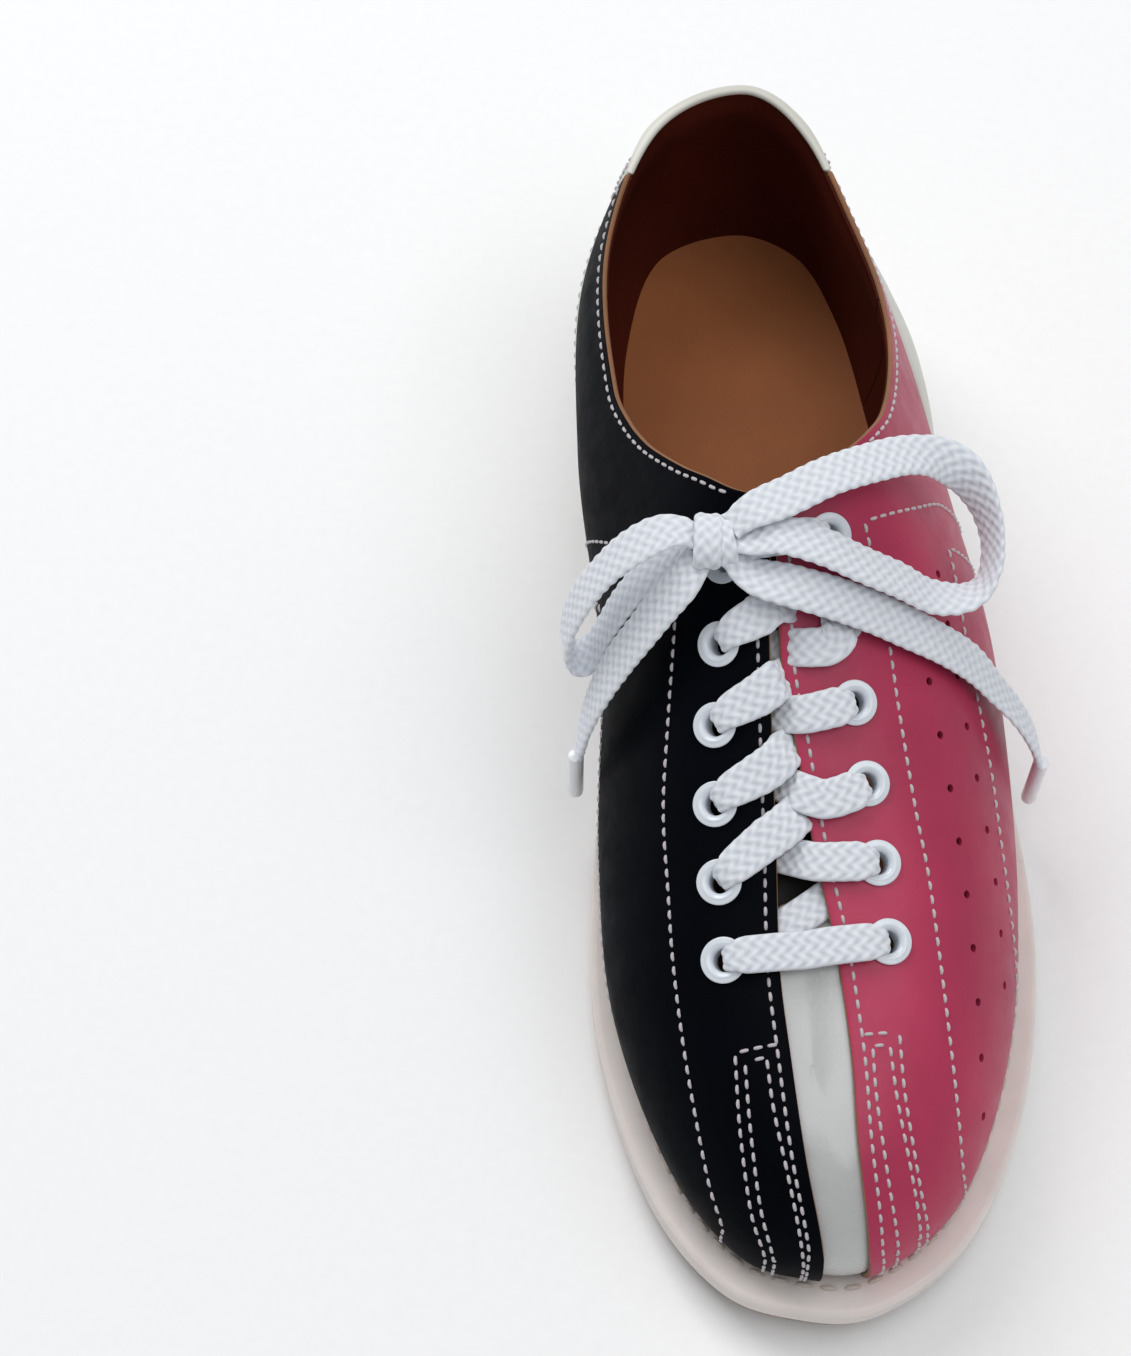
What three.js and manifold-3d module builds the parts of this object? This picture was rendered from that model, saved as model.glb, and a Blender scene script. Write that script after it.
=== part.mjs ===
// Bowling shoe, left foot: lace-up upper in two colours on a flat slide sole.
// Millimetres. +Z is up, the toe points to -Y and the heel to +Y, the outer side of the foot to +X.
// The origin is the middle of the sole's outline, on the floor.

import * as THREE from 'three';
import { mergeVertices } from 'three/addons/utils/BufferGeometryUtils.js';
import Module from 'manifold-3d';

const wasm = await Module();
wasm.setup();

// ---------------------------------------------------------------- driving dimensions

const TOE_Y = -147;
const HEEL_Y = 147;
const BREAST_Y = 72; // front face of the heel
const GAP = 0.3; // clearance between touching pieces

const UPPER = 1.3; // thickness of the outer leather
const REINFORCEMENT = 0.8; // strip, stiffeners and facing backers
const LINING = 0.7;
const BOARD = 2.0;
const SOCK = 1.4;
const OUTSOLE = 2.6;
const HEEL_LIFT = 6.0;
const SHANK = { width: 13, thickness: 1.5, from: -18, to: 96 };

const MIDDLE_LAYER = -(UPPER + 2 * GAP); // outer face of what lies just under the leather
const LINING_LAYER = MIDDLE_LAYER - REINFORCEMENT - 0.5;
const PUFF_LAYER = LINING_LAYER - 0.6;
const VAMP_LINING_LAYER = PUFF_LAYER - REINFORCEMENT - 2 * GAP;
const TONGUE_LAYER = -8.0;
const TONGUE = 1.4;

const EYELETS = { pairs: 6, bore: 5.4, barrel: 6.6, flange: 11, hole: 7.3, lip: 0.8 };
const LACE = { width: 7.5, thickness: 1.3 };
const FREE_LACE = { width: 9, thickness: 1.8 };

// ---------------------------------------------------------------- curves of the last

// The sole's outline from the back of the heel along the outer side to the toe and back along the
// inner side: x, y and how far the upper's lower edge stands in from it.
const OUTLINE = [
  [-7, 147, 4], [15, 137, 4], [26, 112, 4.5], [31, 75, 4.5], [37, 34, 4.5],
  [49, -6, 5], [53, -53, 6], [46.5, -95, 7.5], [30, -129.5, 8], [7, -146.4, 8],
  [-13.5, -145.9, 8], [-29, -138, 8], [-43, -116, 8], [-52.5, -79, 7.5], [-52, -40, 6],
  [-46, 8, 4.5], [-44, 55, 4], [-43, 101, 4], [-33, 136, 4],
];
const COUNT = OUTLINE.length;
// How much the upper's wall swells outwards, at the same places.
const SWELL = [0.12, 0.04, 0.06, 0.19, 0.22, 0.11, 0.07, 0.07, 0.075, 0.08, 0.09, 0.10, 0.12, 0.15,
  0.19, 0.28, 0.42, 0.33, 0.14];
const SPINE = 0.72; // sections fan out from a spine this much shorter than the outline

const outlineCurve = new THREE.CatmullRomCurve3(
  OUTLINE.map(([x, y, inset]) => new THREE.Vector3(x, y, inset)), true, 'catmullrom', 0.5);
const swellCurve = new THREE.CatmullRomCurve3(
  SWELL.map((s) => new THREE.Vector3(s, 0, 0)), true, 'catmullrom', 0.5);

/** Smooth value at x through the knots [x, value], level at a highest or lowest knot. */
function ease(x, knots) {
  const last = knots.length - 1;
  const slope = (i) => {
    const a = knots[Math.max(i - 1, 0)];
    const b = knots[Math.min(i + 1, last)];
    const turns = (knots[i][1] - a[1]) * (b[1] - knots[i][1]) <= 0;
    return turns && i > 0 && i < last ? 0 : (b[1] - a[1]) / (b[0] - a[0]);
  };
  let i = 0;
  while (i < last - 1 && x > knots[i + 1][0]) i += 1;
  const [x0, y0] = knots[i];
  const [x1, y1] = knots[i + 1];
  const h = x1 - x0;
  const t = Math.min(Math.max((x - x0) / h, 0), 1);
  const t2 = t * t;
  const t3 = t2 * t;
  return y0 * (2 * t3 - 3 * t2 + 1) + slope(i) * h * (t3 - 2 * t2 + t)
    + y1 * (3 * t2 - 2 * t3) + slope(i + 1) * h * (t3 - t2);
}

const featherZ = (y) => ease(y, [[TOE_Y, 17.5], [-110, 13], [-65, 10.5], [-25, 11.5], [25, 17.5], [70, 21.5],
  [HEEL_Y, 22.5]]);
const ridgeX = (s) => ease(s, [[-106, -7.5], [-75, -9.5], [-35, -11.5], [-5, -11.5], [35, -9], [106, -8.5]]);
const ridgeZ = (s) => ease(s, [[-114, 50.5], [-84, 56.5], [-48, 68], [-17, 82.5], [12, 99], [35, 113],
  [66, 130], [104, 140]]);
const squareness = (s) => ease(s, [[-114, 2.7], [-58, 2.5], [-7, 2.1], [45, 2.2], [101, 2.6]]);
// How low on the wall the swell sits: 0 puts its peak half way up.
const swellDrop = (s) => ease(s, [[-106, 0.43], [-10, 0.43], [40, 0.95], [106, 1.0]]);
const toplineInner = (y) => ease(y, [[24, 100], [42, 86.5], [59, 76], [79, 74], [100, 76], [125, 81], [143, 86]]);
const toplineOuter = (y) => ease(y, [[24, 102], [42, 93], [59, 85], [79, 76.5], [100, 70], [125, 75], [143, 86]]);
// Upper edge of the heel counter's cover.
const counterInner = (y) => ease(y, [[38, 21], [60, 36], [80, 46], [100, 54], [120, 59], [143, 63]]);
const counterOuter = (y) => ease(y, [[38, 21], [55, 42], [80, 58], [100, 60], [125, 61], [143, 63]]);
// Front edges of the two facings, which leave the strip and the tongue showing between them.
const edgeInner = (y) => ease(y, [[-141, -6.1], [-122, -10.1], [-99, -12.1], [-80, -13.2], [-57, -12.6],
  [-15, -12.6], [0, -12.3], [14, -12.0]]);
const edgeOuter = (y) => ease(y, [[-141, 3.8], [-120, 1.3], [-100, 0.8], [-76, -1.4], [-59, -4.4], [-37, -7.4],
  [-15, -9.4], [0, -9.2], [14, -9.4]]);

// ---------------------------------------------------------------- the last's surface

const curveAt = (curve, u) => curve.getPoint((((u / COUNT) % 1) + 1) % 1);

/** Point in plan inside the outline at u, past the upper's edge by extra. */
function rim(u, extra = 0) {
  const e = 0.002;
  const p = curveAt(outlineCurve, u);
  const d = curveAt(outlineCurve, u + e).sub(curveAt(outlineCurve, u - e));
  const length = Math.hypot(d.x, d.y);
  const inset = p.z + extra;
  return { x: p.x + (d.y / length) * inset, y: p.y - (d.x / length) * inset };
}

/** Point in plan on the outline moved in by inset. */
const outlineIn = (inset) => (u) => rim(u, inset - curveAt(outlineCurve, u).z);

/** Point on the outer surface: u runs round the outline, phi from the sole (0) to the ridge. */
function surface(u, phi) {
  const foot = rim(u);
  const s = SPINE * foot.y;
  const rise = Math.sin(phi) ** (1 / 1.1);
  const reach = Math.cos(phi) ** (2 / squareness(s))
    * (1 + curveAt(swellCurve, u).x * Math.sin(Math.PI * rise * (1 + swellDrop(s) * (1 - rise))));
  const base = featherZ(foot.y);
  return new THREE.Vector3(ridgeX(s) + (foot.x - ridgeX(s)) * reach, s + (foot.y - s) * reach,
    base + (ridgeZ(s) - base) * rise);
}

function surfaceNormal(u, phi) {
  const e = 0.004;
  const low = Math.max(phi - e, 0.001);
  const high = Math.min(phi + e, Math.PI / 2 - 0.001);
  const mid = Math.min(Math.max(phi, 0.002), Math.PI / 2 - 0.02);
  const along = surface(u + e, mid).sub(surface(u - e, mid));
  const up = surface(u, high).sub(surface(u, low));
  const n = along.cross(up).normalize();
  return n.negate();
}

/** Point at a distance outwards from the surface. */
const offsetPoint = (u, phi, out) => surface(u, phi).addScaledVector(surfaceNormal(u, phi), out);

const phiAtHeight = (u, z) => {
  const foot = rim(u);
  const base = featherZ(foot.y);
  const share = (z - base) / (ridgeZ(SPINE * foot.y) - base);
  return Math.asin(Math.min(Math.max(share, 0), 1) ** 1.1);
};

function bisect(low, high, test) {
  let a = low;
  let b = high;
  for (let i = 0; i < 40; i += 1) {
    const mid = (a + b) / 2;
    if (test(mid)) a = mid;
    else b = mid;
  }
  return (a + b) / 2;
}

const TOE_U = bisect(8.5, 10.5, (u) => rim(u + 0.01).y < rim(u).y); // the toe's tip
const OUTER = { from: 0.2, to: TOE_U, side: 1 };
const INNER = { from: COUNT - 0.4, to: TOE_U, side: -1 };

/** The section on one side whose lower edge is at y. */
const sectionAt = (half, y) => bisect(half.from, half.to, (u) => rim(u).y > y);

/** Place on the surface above the point x, y in plan. */
function locate(x, y) {
  const half = x > ridgeX(Math.max(SPINE * y, -100)) ? OUTER : INNER;
  const side = (u) => {
    const foot = rim(u);
    const s = SPINE * foot.y;
    return ((x - ridgeX(s)) * (foot.y - s) - (y - s) * (foot.x - ridgeX(s))) * half.side;
  };
  const u = bisect(half.from, half.to, (v) => side(v) > 0 === side(half.from + (half.to - half.from) * 0.02) > 0);
  const s = SPINE * rim(u).y;
  const away = Math.hypot(x - ridgeX(s), y - s);
  const phi = bisect(Math.PI / 2, 0.5, (p) => {
    const q = surface(u, p);
    return Math.hypot(q.x - ridgeX(s), q.y - s) < away;
  });
  return { u, phi };
}

// ---------------------------------------------------------------- solids from grids

/** One closed mesh from rows of points, two layers deep; folded grids close up at their last row. */
function closedGeometry(outer, inner, folded = false) {
  const rows = outer.length;
  const cols = outer[0].length;
  const points = [...outer.flat(), ...inner.flat()];
  const at = (layer, i, j) => layer * rows * cols + i * cols + j;
  const index = [];
  const quad = (a, b, c, d) => index.push(a, b, c, a, c, d);
  for (let i = 0; i < rows - 1; i += 1) {
    for (let j = 0; j < cols - 1; j += 1) {
      quad(at(0, i, j), at(0, i, j + 1), at(0, i + 1, j + 1), at(0, i + 1, j));
      quad(at(1, i, j), at(1, i + 1, j), at(1, i + 1, j + 1), at(1, i, j + 1));
    }
    quad(at(0, i, 0), at(0, i + 1, 0), at(1, i + 1, 0), at(1, i, 0));
    quad(at(0, i, cols - 1), at(1, i, cols - 1), at(1, i + 1, cols - 1), at(0, i + 1, cols - 1));
  }
  for (let j = 0; j < cols - 1; j += 1) {
    quad(at(0, 0, j), at(1, 0, j), at(1, 0, j + 1), at(0, 0, j + 1));
    if (!folded) quad(at(0, rows - 1, j), at(0, rows - 1, j + 1), at(1, rows - 1, j + 1), at(1, rows - 1, j));
  }
  return facingOut(points, index);
}

/** Geometry with merged points, no empty triangles and faces that point outwards. */
function facingOut(points, index) {
  const raw = new THREE.BufferGeometry();
  raw.setAttribute('position', new THREE.Float32BufferAttribute(points.flatMap((p) => [p.x, p.y, p.z]), 3));
  raw.setIndex(index);
  const merged = mergeVertices(raw, 0.002);
  const pos = merged.getAttribute('position');
  const vertex = (i) => new THREE.Vector3().fromBufferAttribute(pos, i);
  const kept = [];
  let volume = 0;
  for (let i = 0; i < merged.index.count; i += 3) {
    const t = [0, 1, 2].map((k) => merged.index.getX(i + k));
    if (t[0] !== t[1] && t[1] !== t[2] && t[2] !== t[0]) {
      kept.push(...t);
      volume += vertex(t[0]).dot(vertex(t[1]).cross(vertex(t[2])));
    }
  }
  if (volume < 0) kept.reverse();
  merged.setIndex(kept);
  return merged;
}

/** Slab between two distances from the surface, over a grid of places on it. */
function slab(places, out, thickness, folded = false) {
  const layer = (d) => places.map((row) => row.map(({ u, phi }) => offsetPoint(u, phi, d)));
  return closedGeometry(layer(out), layer(out - thickness), folded);
}

const steps = (from, to, count) => Array.from({ length: count + 1 }, (_, i) => from + ((to - from) * i) / count);

/** Sections from u = from to u = to, spread so that the points of the edge phi(u) are even. */
function evenSections(from, to, count, edge) {
  const fine = steps(from, to, 400);
  const length = [0];
  for (let i = 1; i < fine.length; i += 1) {
    const step = surface(fine[i], edge(fine[i])).distanceTo(surface(fine[i - 1], edge(fine[i - 1])));
    const low = surface(fine[i], 0).distanceTo(surface(fine[i - 1], 0));
    length.push(length[i - 1] + step + 0.6 * low);
  }
  const total = length[length.length - 1];
  return steps(0, total, count).map((want) => {
    const i = Math.max(length.findIndex((l) => l >= want - 1e-9), 1);
    const share = (want - length[i - 1]) / (length[i] - length[i - 1] || 1);
    return fine[i - 1] + (fine[i] - fine[i - 1]) * share;
  });
}

/** Grid of places over sections, between a lower and an upper edge. */
function band(sections, low, high, count) {
  return sections.map((u) => evenPhis(u, low(u), high(u), count).map((phi) => ({ u, phi })));
}

/** Values of phi on one section, evenly spaced along it. */
function evenPhis(u, low, high, count) {
  const fine = steps(low, high, 60);
  const length = [0];
  for (let i = 1; i < fine.length; i += 1) {
    length.push(length[i - 1] + surface(u, fine[i]).distanceTo(surface(u, fine[i - 1])));
  }
  return steps(0, length[60], count).map((want, k) => {
    if (k === count) return high;
    const i = Math.max(length.findIndex((l) => l >= want - 1e-9), 1);
    const share = (want - length[i - 1]) / (length[i] - length[i - 1] || 1);
    return fine[i - 1] + (fine[i] - fine[i - 1]) * share;
  });
}

/** Where a section crosses the line x = line(y), from the ridge down; 0 where it never does. */
function phiAtLine(u, line, half) {
  const inside = (phi) => {
    const p = surface(u, phi);
    return (p.x - line(p.y)) * half.side < 0;
  };
  if (!inside(Math.PI / 2)) return Math.PI / 2;
  if (inside(0.02)) return 0;
  return bisect(Math.PI / 2, 0, (phi) => inside(phi));
}

/** Vault over the forefoot: sections join across the ridge, and close up at the toe's tip. */
function vault(startY, count, across, limits) {
  const first = sectionAt(OUTER, startY / SPINE);
  const outerHalf = steps(0, 1, count).map((t) => TOE_U - (TOE_U - first) * (1 - t) ** 1.5);
  return outerHalf.map((uo, i) => {
    const ui = i === count ? TOE_U : sectionAt(INNER, rim(uo).y);
    const inner = evenPhis(ui, limits.inner(ui), Math.PI / 2, across).map((phi) => ({ u: ui, phi }));
    const outer = evenPhis(uo, limits.outer(uo), Math.PI / 2, across).reverse().map((phi) => ({ u: uo, phi }));
    return [...inner.slice(0, -1), ...outer];
  });
}

// ---------------------------------------------------------------- booleans

function toManifold(geometry) {
  const g = mergeVertices(geometry.clone().deleteAttribute('uv').deleteAttribute('normal'), 1e-4);
  const mesh = new wasm.Mesh({
    numProp: 3,
    vertProperties: new Float32Array(g.getAttribute('position').array),
    triVerts: new Uint32Array(g.index.array),
  });
  return new wasm.Manifold(mesh);
}

function fromManifold(solid) {
  const mesh = solid.getMesh();
  const g = new THREE.BufferGeometry();
  g.setAttribute('position', new THREE.BufferAttribute(new Float32Array(mesh.vertProperties), 3));
  g.setIndex(new THREE.BufferAttribute(new Uint32Array(mesh.triVerts), 1));
  return g;
}

const cut = (geometry, tools) => fromManifold(
  tools.reduce((solid, tool) => solid.subtract(toManifold(tool)), toManifold(geometry)));

// ---------------------------------------------------------------- the upper

const colours = {
  navy: 0x10131f, crimson: 0xa3213f, cream: 0xdedbd0, white: 0xe9e8e4, tan: 0xb57c50, brown: 0x6e3b2a,
  board: 0xb9a98a, welt: 0xd6c4b6, suede: 0x9c8772, rubber: 0x2b2826, steel: 0x9a9ca0, foam: 0xc9b58b,
  enamel: 0xe6edf2, lace: 0xeef0f2, aglet: 0xf2f4f6,
};
const shoe = new THREE.Group();
const tongueGroup = new THREE.Group();
shoe.add(tongueGroup);

function add(name, geometry, color, { metalness = 0, roughness = 0.6, group = shoe } = {}) {
  const mesh = new THREE.Mesh(geometry, new THREE.MeshStandardMaterial({ color, roughness, metalness }));
  mesh.name = name;
  group.add(mesh);
}

const topline = (half) => (half.side > 0 ? toplineOuter : toplineInner);
const counterTop = (half) => (half.side > 0 ? counterOuter : counterInner);
const edgeLine = (half) => (half.side > 0 ? edgeOuter : edgeInner);
const SEAM = 0.4;
const COLLAR_Y = { inner: 118, outer: 122 }; // where the heel collar meets the quarters
const COUNTER_FRONT_Y = 40;

/** Upper edge of a facing or quarter on the section u: front edge, throat, then topline. */
function panelTop(u, half, back = 0) {
  const y = rim(u).y;
  const line = (v) => edgeLine(half)(v) + half.side * back;
  const front = phiAtLine(u, line, half);
  if (SPINE * y < 14 - back * 0.6) return front;
  const atTopline = phiAtHeight(u, topline(half)(Math.max(y, 24)) - back);
  return Math.min(front, atTopline);
}

/** Lower edge of a quarter: the sole in front, and the counter's cover behind. */
function panelLow(u, half) {
  const y = rim(u).y;
  return y < COUNTER_FRONT_Y ? 0 : phiAtHeight(u, counterTop(half)(y) + SEAM);
}

function eyeletPlaces(half) {
  return steps(0, 1, EYELETS.pairs - 1).map((t) => {
    const x = half.side < 0 ? ease(t, [[0, -25.4], [0.4, -25.6], [1, -21.8]]) : ease(t, [[0, 10.6], [0.4, 7.8],
      [1, 1.6]]);
    const y = half.side < 0 ? -79.5 + 82 * t : -77 + 83 * t;
    return locate(x, y);
  });
}

const Z = new THREE.Vector3(0, 0, 1);

function placedOn({ u, phi }, geometry, out = 0) {
  const n = surfaceNormal(u, phi);
  const turn = new THREE.Quaternion().setFromUnitVectors(Z, n);
  const where = offsetPoint(u, phi, out);
  return geometry.applyMatrix4(new THREE.Matrix4().compose(where, turn, new THREE.Vector3(1, 1, 1)));
}

const holes = (half) => eyeletPlaces(half).map((place) => placedOn(place,
  new THREE.CylinderGeometry(EYELETS.hole / 2, EYELETS.hole / 2, 9, 14).rotateX(Math.PI / 2), -1.5));

for (const [half, name, color, collarY] of [
  [INNER, 'medial_panel', colours.navy, COLLAR_Y.inner], [OUTER, 'lateral_panel', colours.crimson, COLLAR_Y.outer]]) {
  const rear = sectionAt(half, collarY);
  const corner = bisect(sectionAt(half, -120), half.to, (u) => panelTop(u, half) > 0.03);
  const sections = evenSections(rear, corner, 42, (u) => panelTop(u, half));
  const grid = band(sections, (u) => panelLow(u, half), (u) => panelTop(u, half), 8);
  add(name, cut(slab(grid, 0, UPPER), holes(half)), color, { roughness: 0.35 });
}

// The strip is cut from a vault over the toe, a little wider than the gap between the facings.
const STRIP_LAP = 5;
const stripYs = steps(-160, -50, 22);
const stripPlan = new THREE.Shape([
  ...stripYs.map((y) => new THREE.Vector2(edgeInner(y) - STRIP_LAP, y)),
  ...[...stripYs].reverse().map((y) => new THREE.Vector2(edgeOuter(y) + STRIP_LAP, y))]);
const stripCutter = new THREE.ExtrudeGeometry(stripPlan, { depth: 120, bevelEnabled: false });
const wholeVault = { inner: () => 0.01, outer: () => 0.01 };
add('vamp_strip', fromManifold(toManifold(slab(vault(-64, 22, 8, wholeVault), MIDDLE_LAYER, REINFORCEMENT, true))
  .intersect(toManifold(stripCutter))), colours.cream, { roughness: 0.3 });

// The counter's cover wraps the heel below the quarters; the collar closes the topline above it.
const around = (y, count) => evenSections(sectionAt(OUTER, y[1]) + COUNT, sectionAt(INNER, y[0]), count, () => 0);
const halfOf = (u) => (((u % COUNT) + COUNT) % COUNT < TOE_U ? OUTER : INNER);
const heelCover = around([COUNTER_FRONT_Y + 4, COUNTER_FRONT_Y + 4], 28);
add('heel_counter_cover', slab(band(heelCover, () => 0,
  (u) => phiAtHeight(u, counterTop(halfOf(u))(rim(u).y) - SEAM), 5), 0, UPPER), colours.white, { roughness: 0.4 });
const collarSections = around([COLLAR_Y.inner + 0.5, COLLAR_Y.outer + 0.5], 18);
add('heel_collar', slab(band(collarSections, (u) => phiAtHeight(u, counterTop(halfOf(u))(rim(u).y) + SEAM),
  (u) => phiAtHeight(u, topline(halfOf(u))(rim(u).y)), 4), 0, UPPER), colours.white, { roughness: 0.5 });
add('counter_stiffener', slab(band(around([62, 62], 22), () => 0.02,
  (u) => phiAtHeight(u, counterTop(halfOf(u))(rim(u).y) - 4), 3), MIDDLE_LAYER, REINFORCEMENT), colours.board);
add('toe_puff', slab(vault(-84, 18, 8, wholeVault), PUFF_LAYER, REINFORCEMENT, true),
  colours.board);

// Linings: a vault in front, a quarter on each side, and one round the heel.
const liningTop = (half) => (u) => panelTop(u, half, 1.5);
add('vamp_lining', slab(vault(-72, 20, 8, wholeVault), VAMP_LINING_LAYER, LINING, true), colours.tan);
for (const [half, name] of [[INNER, 'medial_quarter_lining'], [OUTER, 'lateral_quarter_lining']]) {
  const sections = evenSections(sectionAt(half, 86), sectionAt(half, -97), 26, liningTop(half));
  add(name, cut(slab(band(sections, () => 0.02, liningTop(half), 6), LINING_LAYER, LINING), holes(half)),
    colours.brown, { roughness: 0.8 });
}
add('heel_lining', slab(band(around([87, 87], 20), () => 0.02,
  (u) => phiAtHeight(u, topline(halfOf(u))(rim(u).y) - 1), 4), LINING_LAYER, LINING), colours.brown,
{ roughness: 0.8 });

// Backers under the eyelet rows.
for (const [half, name] of [[INNER, 'medial_facing_backer'], [OUTER, 'lateral_facing_backer']]) {
  const front = (u) => phiAtLine(u, (y) => edgeLine(half)(y) + half.side * 6, half);
  const back = (u) => phiAtLine(u, (y) => edgeLine(half)(y) + half.side * 20, half);
  const sections = evenSections(sectionAt(half, 7 / SPINE), sectionAt(half, -92), 14, front);
  add(name, cut(slab(band(sections, back, front, 3), MIDDLE_LAYER - 0.3, REINFORCEMENT), holes(half)), colours.board);
}

// ---------------------------------------------------------------- the tongue

/** Grid across the ridge from y = from to y = to, reaching half a width to each side. */
function acrossRidge(from, to, count, halfWidth, across) {
  return steps(from, to, count).map((s) => {
    const reach = (half) => {
      const u = sectionAt(half, s / SPINE);
      const low = phiAtLine(u, () => ridgeX(s) + half.side * halfWidth(s), half);
      return evenPhis(u, low, Math.PI / 2, across).map((phi) => ({ u, phi }));
    };
    return [...reach(INNER).slice(0, -1), ...reach(OUTER).reverse()];
  });
}

const TONGUE_FRONT = -58;
const TONGUE_END = 11;
const tongueWidth = (s) => ease(s, [[TONGUE_FRONT, 17], [-30, 22], [TONGUE_END - 6, 23], [TONGUE_END, 17]]);
add('tongue_outer', slab(acrossRidge(TONGUE_FRONT, TONGUE_END, 10, tongueWidth, 3), TONGUE_LAYER, TONGUE),
  colours.brown, { group: tongueGroup });
add('tongue_lining', slab(acrossRidge(TONGUE_FRONT + 1, TONGUE_END - 1, 10, (s) => tongueWidth(s) - 1, 3),
  TONGUE_LAYER - TONGUE - GAP, LINING), colours.tan, { group: tongueGroup });

// ---------------------------------------------------------------- the sole

const treadZ = (y) => ease(y, [[TOE_Y, 6.5], [-120, 1.8], [-90, 0], [-20, 0], [20, 2.2], [BREAST_Y, 8]]);
const midsoleBottom = (y) => ease(y, [[TOE_Y, 9.4], [-120, 4.7], [-90, 2.9], [-20, 2.9], [20, 5.1],
  [BREAST_Y, 10.9], [84, 13.2], [HEEL_Y, 13.2]]);

/** Flat piece inside a plan outline, between two heights, over a stretch of the sole's length. */
function plate(outline, bottom, top, { from = -Infinity, to = Infinity, rows = 30, cols = 2 } = {}) {
  const heel = bisect(-1.5, 1.5, (u) => outline(u + 0.01).y > outline(u).y);
  const toe = bisect(8, 11, (u) => outline(u + 0.01).y < outline(u).y);
  const first = Math.max(outline(toe).y + 0.02, from);
  const final = Math.min(outline(heel).y - 0.02, to);
  const round = (t) => (1 - Math.cos(Math.PI * t)) / 2;
  const ys = steps(0, 1, rows).map((t) => first + (final - first) * (0.35 * t + 0.65 * round(t)));
  const row = (height) => ys.map((y) => {
    const outer = bisect(heel, toe, (u) => outline(u).y > y);
    const inner = bisect(heel + COUNT, toe, (u) => outline(u).y > y);
    return steps(outline(inner).x, outline(outer).x, cols).map((x) => new THREE.Vector3(x, y, height(y)));
  });
  return closedGeometry(row(top), row(bottom));
}

const filler = (grow) => plate(outlineIn(19 - grow), (y) => featherZ(y) - 2.4 - grow, (y) => featherZ(y)
  - 0.5 + grow * 3, { from: -122 - grow, to: -24 + grow, rows: 16, cols: 2 });
function shankBar(grow) {
  const rows = steps(SHANK.from - grow, SHANK.to + grow, 14);
  const middle = (y) => ease(y, [[-20, -2], [30, -4], [96, -8]]);
  const layer = (lift) => rows.map((y) => steps(-1, 1, 1).map((side) => new THREE.Vector3(
    middle(y) + side * (SHANK.width / 2 + grow), y, featherZ(y) + lift)));
  return closedGeometry(layer(-0.5 + grow * 3), layer(-0.5 - SHANK.thickness - grow));
}

add('slide_sole', plate(outlineIn(0.6), treadZ, (y) => treadZ(y) + OUTSOLE, { to: BREAST_Y - GAP, rows: 28 }),
  colours.suede, { roughness: 0.9 });
add('midsole', cut(plate(outlineIn(0), midsoleBottom, (y) => featherZ(y) - GAP, { rows: 36 }),
  [filler(GAP), shankBar(GAP)]), colours.welt, { roughness: 0.5 });
add('heel_block', plate(outlineIn(0.8), () => HEEL_LIFT + GAP, (y) => midsoleBottom(y) - GAP,
  { from: BREAST_Y, rows: 18 }), colours.welt, { roughness: 0.5 });
add('heel_top_lift', plate(outlineIn(0.8), () => 0, () => HEEL_LIFT, { from: BREAST_Y, rows: 18 }),
  colours.rubber, { roughness: 0.9 });
add('forefoot_filler', filler(0), colours.foam, { roughness: 0.9 });
add('shank', shankBar(0), colours.steel, { metalness: 0.9, roughness: 0.35 });
const boardPlan = (u) => rim(u, 6.3);
add('insole_board', plate(boardPlan, (y) => featherZ(y) + GAP, (y) => featherZ(y) + GAP + BOARD,
  { rows: 26, cols: 2 }), colours.board, { roughness: 0.9 });
add('sock_liner', plate(boardPlan, (y) => featherZ(y) + 2 * GAP + BOARD,
  (y) => featherZ(y) + 2 * GAP + BOARD + SOCK, { rows: 26, cols: 2 }), colours.tan);

// ---------------------------------------------------------------- eyelets and lace

/** Eyelet set from outside: a rounded flange and a barrel through leather, backer and lining. */
function eyelet() {
  const bore = EYELETS.bore / 2;
  const barrel = EYELETS.barrel / 2;
  const flange = EYELETS.flange / 2;
  const end = LINING_LAYER - LINING - 0.3;
  const section = [[bore, end], [barrel, end], [barrel, GAP], [flange, GAP], [flange, GAP + 0.3],
    [flange - 0.7, GAP + EYELETS.lip], [bore + 0.6, GAP + EYELETS.lip], [bore, GAP + 0.3], [bore, end]];
  const turned = new THREE.LatheGeometry(section.map(([r, z]) => new THREE.Vector2(r, z)), 14).rotateX(Math.PI / 2);
  const plain = turned.deleteAttribute('uv').deleteAttribute('normal');
  const pos = plain.getAttribute('position');
  const points = Array.from({ length: pos.count }, (_, i) => new THREE.Vector3().fromBufferAttribute(pos, i));
  return facingOut(points, Array.from(plain.index.array));
}

const places = { inner: eyeletPlaces(INNER), outer: eyeletPlaces(OUTER) };
for (const [side, list] of Object.entries(places)) {
  list.forEach((place, i) => add(`eyelet_${side === 'inner' ? 'medial' : 'lateral'}_${i + 1}`,
    placedOn(place, eyelet()), colours.enamel, { roughness: 0.25 }));
}

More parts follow.
